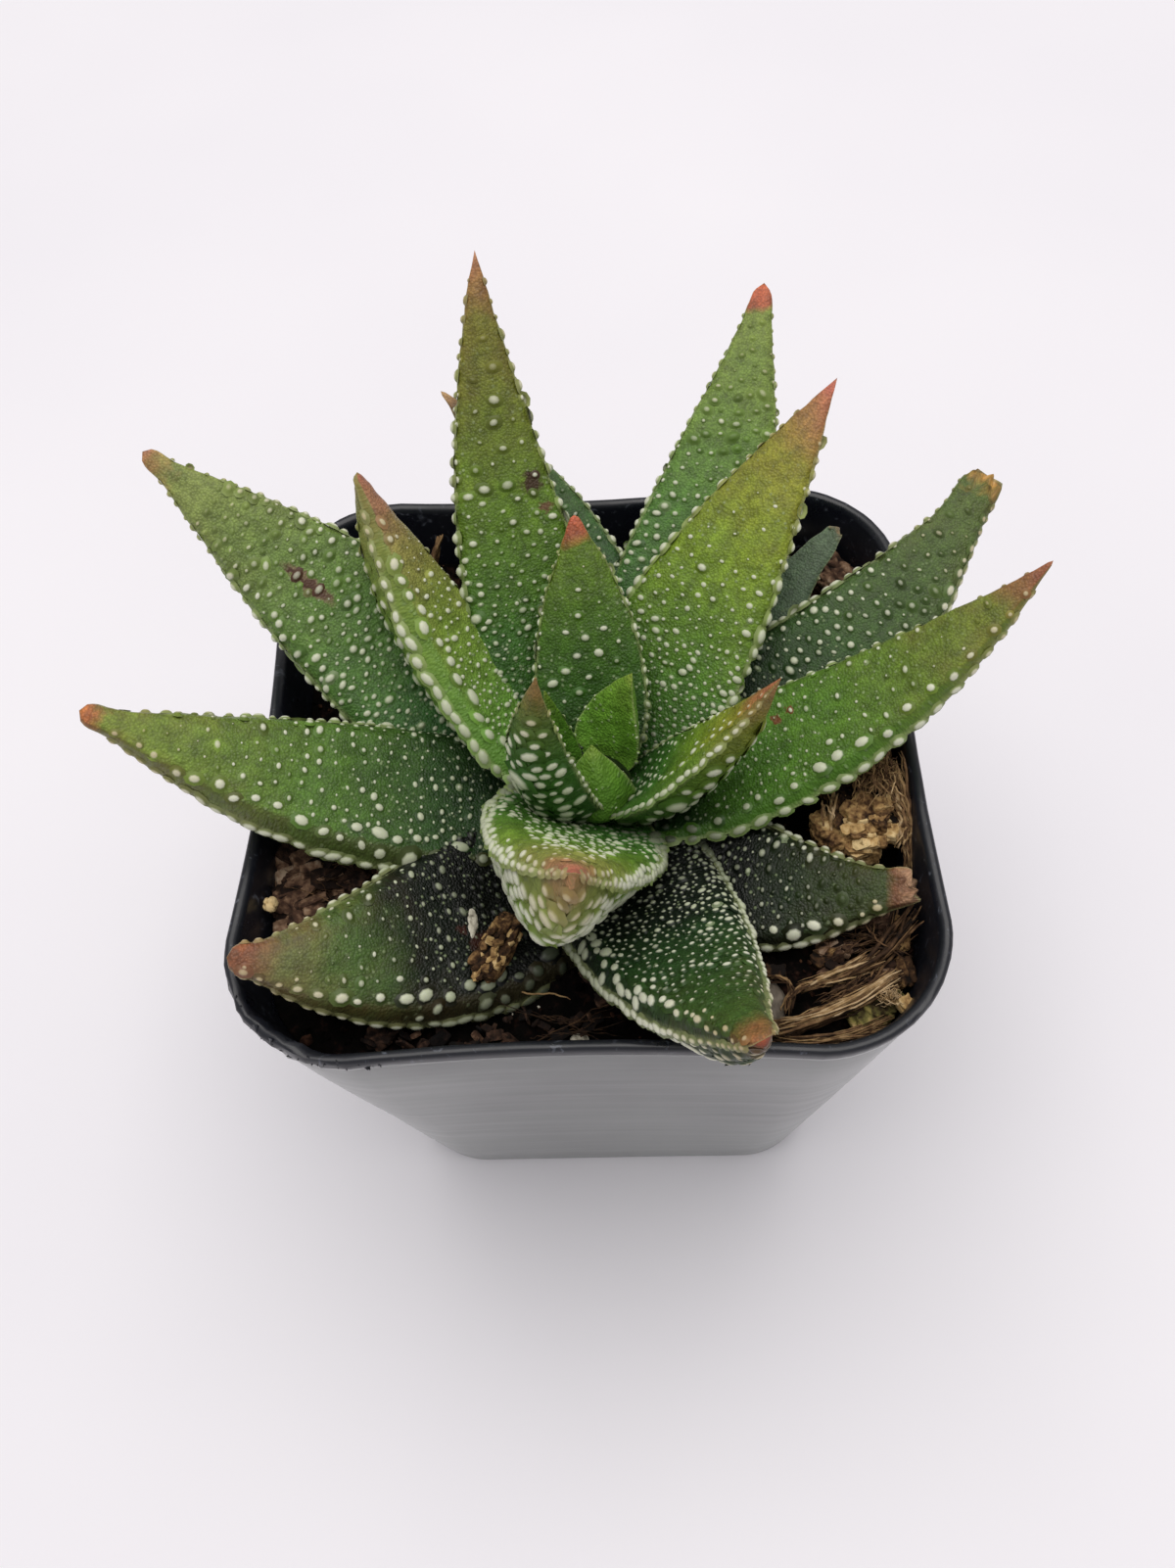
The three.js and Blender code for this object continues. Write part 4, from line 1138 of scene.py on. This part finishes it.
def lump(
    name, at, half, turn, seed, rough, blocky=0.0, grain=1.0, subdivisions=4, tilt=0, pale=0.0
):
    """A chip or stone: a ball shaped to its half sizes, then its surface broken up. Blocky pulls
    it towards a box, grain stretches the breaks along Y, tilt raises its +Y end, and pale shifts
    its tone."""
    bpy.ops.mesh.primitive_ico_sphere_add(subdivisions=subdivisions, radius=1)
    made = new_primitive(name)
    ball = coordinates(made)
    boxed = ball / np.abs(ball).max(1)[:, None] * 0.88
    points = (ball * (1 - blocky) + boxed * blocky) * np.array(half)
    shifts = []
    for x, y, z in points:
        q = Vector((x, y * grain, z)) + Vector((seed * 3.7, seed * 1.3, 0))
        distances = noise.voronoi(q)[0]
        crack = min(distances[1] - distances[0], 0.22) / 0.22 - 1
        fine = noise.fractal(q / 0.55, 0.9, 2.1, 3)
        shifts.append(rough * (noise.noise(q / 2.0) + 0.5 * crack + 0.3 * fine))
    shifts = np.array(shifts)
    points = points + ball * shifts[:, None] * np.mean(half)
    turn_plane(points, 1, 2, math.radians(tilt))
    turn_plane(points, 0, 1, math.radians(turn))
    set_coordinates(made, (points + np.array(at)) * MM)
    # Tone follows the relief: cracks and dips darker, proud parts paler, partly the matter's own
    # colour and partly painted shade and highlight.
    set_attribute(made, "tone", 0.55 + 0.38 * np.clip(shifts / rough, -1, 1) + pale)
    shade_smooth(made)
    return made


def block_template():
    """A broken cube with worn edges: a bevelled cube, its corners pushed about."""
    bpy.ops.mesh.primitive_cube_add(size=2)
    block = new_primitive("broken_cube")
    bpy.ops.object.mode_set(mode="EDIT")
    bpy.ops.mesh.select_all(action="SELECT")
    bpy.ops.mesh.bevel(offset=0.3, segments=1, affect="EDGES")
    bpy.ops.object.mode_set(mode="OBJECT")
    points = coordinates(block)
    set_coordinates(block, points + np.random.RandomState(5).normal(0, 0.09, points.shape))
    return template_of(block)


def rubble(name, at, reach, turn, count, seed, sizes, tones, form=(1.15, 0.8, 0.65), loose=0.3):
    """Broken blocks or flakes heaped over a body whose half sizes are reach. Form is one block's
    own half sizes, and loose how far its grain strays from the others', in radians."""
    random = np.random.RandomState(seed)
    copies, shades = [], []
    for _ in range(count):
        way = random.normal(size=3)
        way[2] = abs(way[2]) * 0.9 - 0.1
        out = way / np.linalg.norm(way) * np.array(reach) * random.uniform(0.82, 1.02)
        block = BLOCK[0] * np.array(form) * random.uniform(0.7, 1.3, 3) * random.uniform(*sizes)
        for first, second in ((1, 2), (0, 2), (0, 1)):
            turn_plane(block, first, second, random.normal(0, loose))
        block += out
        turn_plane(block, 0, 1, math.radians(turn))
        block += np.array(at)
        block[:, 0] += max(0.0, -WALL_REACH - block[:, 0].min())  # none passes the pot's wall
        copies.append(block)
        shades.append(random.uniform(*tones))
    heap = mesh_of_copies(name, BLOCK, copies, shades)
    shade_smooth(heap, 30)
    return heap


def strand_template():
    """A straight thread 1 mm long and 1 mm in radius, five-sided, in twelve lengths."""
    bpy.ops.mesh.primitive_circle_add(vertices=5, radius=1, fill_type="NGON", location=(0, 0, 0))
    thread = new_primitive("thread")
    bpy.ops.object.mode_set(mode="EDIT")
    bpy.ops.mesh.select_mode(type="FACE")
    bpy.ops.mesh.select_all(action="SELECT")
    step = (0, 0, 1 / STRAND_STEPS)
    for _ in range(STRAND_STEPS):
        bpy.ops.mesh.extrude_region_move(TRANSFORM_OT_translate={"value": step})
    end_edit()
    return template_of(thread)


def laid_along(path, radius):
    """The thread's vertices laid along a smooth path, flattened, and thinner at both ends."""
    points = STRAND[0]
    share = np.linspace(0, 1, len(path))
    t = points[:, 2]

    def curve(value):
        return np.stack([np.interp(value, share, path[:, axis]) for axis in range(3)], 1)

    onward = unit(curve(np.minimum(t + 0.04, 1)) - curve(np.maximum(t - 0.04, 0)))
    side = unit(np.cross(onward, (0.0, 0.0, 1.0)))
    taper = (0.35 + 0.65 * np.sin(np.clip(t, 0, 1) * math.pi) ** 0.5)[:, None] * radius
    up = np.cross(side, onward) * points[:, 1:2] * STRAND_FLAT
    return curve(t) + (side * points[:, :1] + up) * taper


def strand_bundle(name, random, wander, rows, replaces=None):
    """Dry fibres side by side on bows. Each row: how many, the bow's start, bend and end, how far
    the threads stray at these, then the ranges of their radius and tone."""
    copies, shades = [], []
    t = np.linspace(0, 1, STRAND_STEPS + 1)[:, None]
    for count, *bow in rows:
        ends, spreads, radii, tones = np.split(np.array(bow), (9, 12, 14))
        for _ in range(count):
            start, bend, end = (
                mark + random.uniform(-1, 1, 3) * spread
                for mark, spread in zip(ends.reshape(3, 3), spreads)
            )
            path = (1 - t) ** 2 * start + 2 * t * (1 - t) * bend + t**2 * end
            drift = np.cumsum(random.normal(0, wander, path.shape), axis=0)
            path = path + (drift - t * drift[-1])
            copies.append(laid_along(path, random.uniform(*radii)))
            shades.append(random.uniform(*tones))
    piece = mesh_of_copies(name, STRAND, copies, shades)
    shade_smooth(piece)
    finish_piece(piece, replaces, DRY_FIBRE)


# ---------------------------------------------------------------- build

BLOCK = block_template()
STRAND = strand_template()
DOME = tubercle_template()

pot_shell()
rim_burrs()
soil_bed()
soil_crumbs()
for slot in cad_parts["stem"].material_slots:
    slot.material = stem_skin_painted_shade()
for number in range(1, len(LEAF_FORMS) + 1):
    leaf_piece(number, DOME)

for name, at, half, turn, seed, rough, material in (
    ("bark_left", (-24.9, -12.5, 48.6), (4.2, 2.6, 1.6), 22, 22, 0.34, BARK),
    ("bark_left_low", (-20.5, -8.5, 48.4), (2.4, 3, 1.3), 50, 23, 0.34, BARK),
    ("bark_back", (25.6, 24.4, 49), (2.2, 3.4, 2), 35, 24, 0.3, BARK),
    ("bark_right", (26.5, -15.5, 48.6), (1.8, 3.6, 1.5), 12, 25, 0.34, BARK),
    ("moss_lump", (25.4, -24.8, 48.6), (3, 2, 1.6), 28, 26, 0.34, MOSS),
):
    piece = lump(name + "_chip", at, half, turn, seed, rough, 0.45, BARK_GRAIN, 5)
    finish_piece(piece, name, material)

front = lump(
    "bark_front_chip", (-7.9, -20.2, 52.6), (1.45, 3.5, 1.15), -28, 21, 0.3, 0.6, BARK_GRAIN, 5,
    pale=-0.35,
)
blocks = rubble(
    "bark_front_block", (-7.9, -20.2, 52.7), (1.4, 3.4, 1.1), -28, 46, 210, (0.25, 0.5),
    (0.15, 0.85), (0.7, 1.3, 0.5),
)
finish_piece(join([front, blocks]), "bark_front", ROTTEN_WOOD)

flakes = [
    rubble(
        "loose_bark_flakes", (-25.2, -12.0, 49.9), (4.2, 4.2, 1.4), 25, 46, 410, (0.7, 1.5),
        (0.12, 0.92), (1.5, 0.8, 0.26), 0.4,
    ),
    rubble(
        "bark_front_flake", (-9.0, -26.6, 48.8), (11.0, 1.3, 0.25), 3, 46, 420, (0.25, 0.7),
        (0.0, 0.55), (1.2, 0.8, 0.3), 0.7,
    ),
    rubble(
        "bark_right_flake", (24.5, -20.5, 49.2), (4.0, 3.2, 0.7), 20, 60, 430, (0.25, 0.8),
        (0.1, 0.75), (1.3, 0.8, 0.32), 0.6,
    ),
]
finish_piece(join(flakes), material=BARK)

# Flakes broken off the bark: place, half sizes, turn, tilt and how pale each is.
FLAKES_LEFT = [
    ((-28.0, -9.6, 50.2), (2.2, 1.5, 0.7), 30, 24, 0.2),
    ((-25.6, -8.2, 50.9), (1.9, 1.4, 0.7), -24, -18, -0.05),
    ((-27.4, -13.4, 50.3), (1.7, 2.2, 0.7), 64, 15, -0.05),
    ((-24.3, -14.6, 50.4), (2.3, 1.3, 0.8), 12, -14, 0.0),
    ((-22.0, -11.8, 50.6), (1.8, 1.5, 0.9), -40, 20, -0.1),
    ((-27.6, -16.4, 49.6), (1.8, 1.2, 0.7), 20, 10, 0.05),
    ((-29.4, -12.4, 49.4), (1.1, 1.5, 0.6), 0, 30, 0.0),
    ((-19.6, -13.0, 50.1), (1.5, 1.1, 0.7), 76, -10, -0.15),
    ((-25.8, -11.4, 51.4), (1.3, 1.0, 0.6), 15, 8, 0.2),
]
FLAKES_FRONT = [
    ((0.5, -22.3, 50.3), (1.3, 0.8, 0.6), -50, 12, -0.1),
    ((1.6, -24.0, 49.6), (1.1, 0.8, 0.5), 20, 0, -0.15),
    ((-18.6, -26.8, 48.8), (1.5, 0.9, 0.5), -20, 0, -0.15),
]
FLAKES_RIGHT = [
    ((28.4, -22.0, 49.2), (1.0, 1.6, 0.6), 12, 16, -0.15),
    ((21.2, -20.2, 49.2), (1.4, 0.9, 0.5), 40, 0, -0.4),
    ((28.3, -18.6, 50.0), (1.0, 1.8, 0.6), -8, 20, -0.05),
    ((16.8, -21.6, 49.0), (1.2, 0.8, 0.5), 0, 0, -0.4),
    ((27.9, -25.5, 50.0), (0.8, 0.9, 0.7), 30, 0, 0.25),
]
for name, flakes, material in (
    ("bark_flakes_left", FLAKES_LEFT, BARK),
    ("bark_flakes_front", FLAKES_FRONT, BARK),
    ("bark_flakes_right", FLAKES_RIGHT, ROTTEN_WOOD),
):
    parts = [
        lump(name, at, half, turn, 60 + index, 0.36, 0.7, BARK_GRAIN, 4, tilt, pale)
        for index, (at, half, turn, tilt, pale) in enumerate(flakes)
    ]
    finish_piece(join(parts), material=material)

for name, at, half, turn, seed, rough, material in (
    ("pebble", (15.8, -24.4, 48.4), (1.9, 2.4, 1.35), 10, 27, 0.06, PEBBLE),
    ("perlite_front", (-0.8, -27.6, 48.4), (0.9, 0.8, 0.8), 0, 29, 0.2, PERLITE),
    ("perlite_left", (-27.9, -17.6, 48.5), (0.8, 1, 0.8), 0, 30, 0.2, PERLITE),
    ("perlite_back", (20.6, 26.4, 48.8), (1.3, 1.2, 1.2), 0, 31, 0.2, PERLITE),
):
    finish_piece(lump(name + "_grain", at, half, turn, seed, rough), name, material)
crumb = lump("wall_crumb", (-29.1, -15.4, 52.4), (0.45, 0.7, 0.6), 20, 33, 0.8, pale=0.4)
finish_piece(crumb, material=ROTTEN_WOOD)

# The seed husk: a pale drop, drawn in at its lower end, with small dark pits.
HUSK_AT = np.array((-10.4, -17.6, 52.6))
husk = lump("seed_husk_grain", HUSK_AT, (0.78, 1.9, 0.55), 14, 28, 0.16)
points = coordinates(husk) / MM - HUSK_AT
points[:, [0, 2]] *= (0.55 + 0.45 * smooth_step(-1.8, 0.6, points[:, 1]))[:, None]
set_coordinates(husk, (points + HUSK_AT) * MM)
finish_piece(husk, "seed_husk", PERLITE)

# The crumbled chunk: the solid's five blocks, dark on top, with tan cubes broken off in front.
# Rows: offset, half sizes, turn and how pale.
CHUNK_AT = np.array([25.5, -5.3, 50.4])
CHUNK_BLOCKS = [
    ((0, 0, 0), (3.5, 5, 3.6), 8, -0.45),
    ((-2.2, -3.5, 0.2), (2.2, 2, 2.4), 30, -0.08),
    ((0.9, -2.8, 2), (2.1, 1.8, 2.2), -20, -0.12),
    ((-1.4, 1.9, 1.9), (2.3, 2.2, 2.1), 12, -0.25),
    ((1.9, 2.4, 1.7), (1.6, 2.9, 2.3), 0, -0.18),
    ((0.3, -5.2, 0.5), (1.7, 1.2, 1.2), -8, 0.3),
    ((-0.2, -3.9, 2.4), (1.4, 1.0, 1.0), 12, 0.28),
    ((2.2, -4.0, 1.8), (1.3, 1.0, 1.0), -22, 0.22),
    ((-2.4, -5.3, 0.3), (0.9, 0.9, 1.0), 24, 0.25),
    ((-3.3, -2.6, 1.2), (1.2, 1.3, 1.3), 40, 0.0),
    ((1.7, -2.3, 3.7), (1.0, 0.8, 0.7), 10, 0.15),
    ((-1.2, -2.5, 3.4), (0.9, 0.8, 0.7), -30, 0.1),
]
blocks = [
    lump(
        "wood_chunk_lump", CHUNK_AT + offset, half, turn, 41 + index, 0.26, 0.8,
        subdivisions=5 if index < 5 else 4, pale=pale,
    )
    for index, (offset, half, turn, pale) in enumerate(CHUNK_BLOCKS)
]
blocks.append(
    rubble(
        "wood_chunk_block", CHUNK_AT + (0.4, -4.0, 0.9), (2.5, 1.9, 2.6), 8, 40, 310, (0.3, 0.8),
        (0.2, 1.05),
    )
)
finish_piece(join(blocks), "wood_chunk", ROTTEN_WOOD)

random = np.random.RandomState(51)
strand_bundle("root_fibre_bundle", random, 0.08, [
    (60, 16.2, -27.4, 49.2, 21.8, -26.6, 50.3, 27.3, -23, 50.3, 1, 0.9, 0.7, 0.05, 0.2, 0, 0.55),
    (46, 16.4, -27.2, 49.6, 21.8, -26.6, 50.9, 27.1, -23.2, 50.9,
     0.7, 0.6, 0.5, 0.04, 0.14, 0.5, 1),
    (44, 19, -23.5, 49.3, 22.4, -23, 50.5, 25.6, -21.4, 50.6,
     0.5, 0.7, 0.8, 0.04, 0.14, 0.2, 0.95),
    (34, 24, -22.9, 50, 26.4, -21.2, 50.6, 28.8, -17.4, 51, 1, 1, 1.3, 0.05, 0.2, 0, 0.5),
    (9, 15.9, -22.6, 49.6, 19.2, -22.4, 50.6, 17.6, -25.8, 49.2,
     0.3, 0.5, 0.3, 0.05, 0.12, 0.2, 0.7),
    (8, 17.4, -25.6, 49.2, 17.8, -23.8, 50.2, 20.2, -23.2, 49.8,
     0.3, 0.4, 0.3, 0.05, 0.12, 0.2, 0.7),
    (26, 15.6, -28.2, 49.2, 21, -28.9, 49.8, 26.4, -27, 49.6, 0.6, 0.5, 0.6, 0.04, 0.09, 0.2, 0.8),
    (30, 18.4, -26.8, 49.6, 16.4, -27.4, 49.9, 14.4, -27.6, 49.4,
     0.5, 0.7, 1.3, 0.04, 0.08, 0.2, 0.8),
    (22, 20.5, -25.4, 50.2, 23, -24.6, 50.9, 24.6, -23.4, 50.4,
     0.9, 0.8, 0.8, 0.03, 0.07, 0.1, 0.7),
], "root_fibres")
strand_bundle("root_left_strands", random, 0.06, [
    (9, -16.4, 24.6, 48.2, -17, 26.6, 51.4, -15.6, 27.6, 54,
     0.35, 0.35, 0.4, 0.12, 0.3, 0.35, 0.8),
], "root_left")
# Loose fibres: down the chunk's right side, fluff on its top, and strays over the soil.
strand_bundle("loose_fibres", random, 0.12, [
    (40, 28.6, -3.6, 54.4, 29.8, -8, 53.6, 29.6, -12.6, 50.6, 1, 0.9, 0.5, 0.06, 0.2, 0.3, 0.9),
    (30, 28.6, -7.6, 53.4, 29.9, -9.2, 53, 28.9, -10.4, 51.8, 0.7, 0.6, 0.7, 0.06, 0.18, 0.4, 0.9),
    (110, 26.6, -3.4, 54.4, 26.8, -4.6, 55.4, 27, -6.4, 54.4, 2.4, 2, 2.4, 0.04, 0.1, 0.35, 0.85),
    (44, 23.2, -6.2, 53, 22.6, -8.2, 52.8, 23.4, -10.6, 50.6, 1.2, 1, 0.9, 0.06, 0.18, 0.5, 0.95),
    (1, -7, -23, 49.6, -4, -23.3, 50, -1.6, -24.2, 49.6, 0.1, 0.1, 0.1, 0.09, 0.11, 0.6, 0.8),
    (12, -6, -26.4, 49, -2, -26.8, 49.6, 1, -26.4, 49, 2.4, 1.6, 2.4, 0.03, 0.06, 0.05, 0.35),
    (14, -28, -13.4, 50.2, -25, -12.2, 51.4, -22, -13.4, 50.2,
     2.4, 2.6, 2.6, 0.03, 0.06, 0.1, 0.4),
    (26, 22, -19.6, 49.4, 24.6, -19, 50.4, 27.4, -19.8, 49.8, 2.4, 1.8, 2, 0.04, 0.1, 0.1, 0.5),
    (34, 25.8, -24.9, 50.6, 26.3, -25, 51.2, 26.9, -25.1, 50.6,
     0.8, 0.7, 0.8, 0.03, 0.06, 0.85, 1),
    (12, 8, -28, 49, 11, -27.6, 49.8, 13.6, -27.8, 49.2, 2, 0.9, 1.2, 0.04, 0.1, 0.1, 0.5),
])


# ---------------------------------------------------------------- stage, light and camera

bpy.ops.object.select_all(action="DESELECT")
bpy.ops.mesh.primitive_plane_add(size=6, location=(0, 0, 0))
floor = new_primitive("table_top")
floor.data.materials.append(table_paint())

world = bpy.data.worlds.new("soft_room")
world.use_nodes = True
bpy.context.scene.world = world
world.node_tree.nodes["Background"].inputs["Color"].default_value = linear("#f7f5f6")
world.node_tree.nodes["Background"].inputs["Strength"].default_value = 0.5

# One square soft light above and a little behind, facing the plant.
lamp = bpy.data.lights.new("ceiling_panel", "AREA")
lamp.size = 1.0
lamp.energy = 7.2
lamp.color = linear("#fffcf7")[:3]
panel = bpy.data.objects.new("ceiling_panel", lamp)
bpy.context.scene.collection.objects.link(panel)
panel.location = (0.0, 0.1, 1.0)
aim = Vector((0, 0, 0.05)) - Vector(panel.location)
panel.rotation_euler = aim.to_track_quat("-Z", "Y").to_euler()

camera_data = bpy.data.cameras.new("camera")
camera_data.sensor_fit = "VERTICAL"
camera_data.sensor_height = SENSOR_HEIGHT
camera_data.lens = FOCAL_PIXELS / PHOTO_HEIGHT * SENSOR_HEIGHT
camera_data.clip_start = 0.005
camera_data.clip_end = 20.0
camera = bpy.data.objects.new("camera", camera_data)
bpy.context.scene.collection.objects.link(camera)
turn = Matrix((CAMERA_RIGHT, CAMERA_UP, -CAMERA_AHEAD)).transposed()
camera.matrix_world = Matrix.Translation(CAMERA_AT) @ turn.to_4x4()
bpy.context.scene.camera = camera

bpy.context.scene.view_settings.view_transform = "Standard"

bpy.context.view_layer.update()
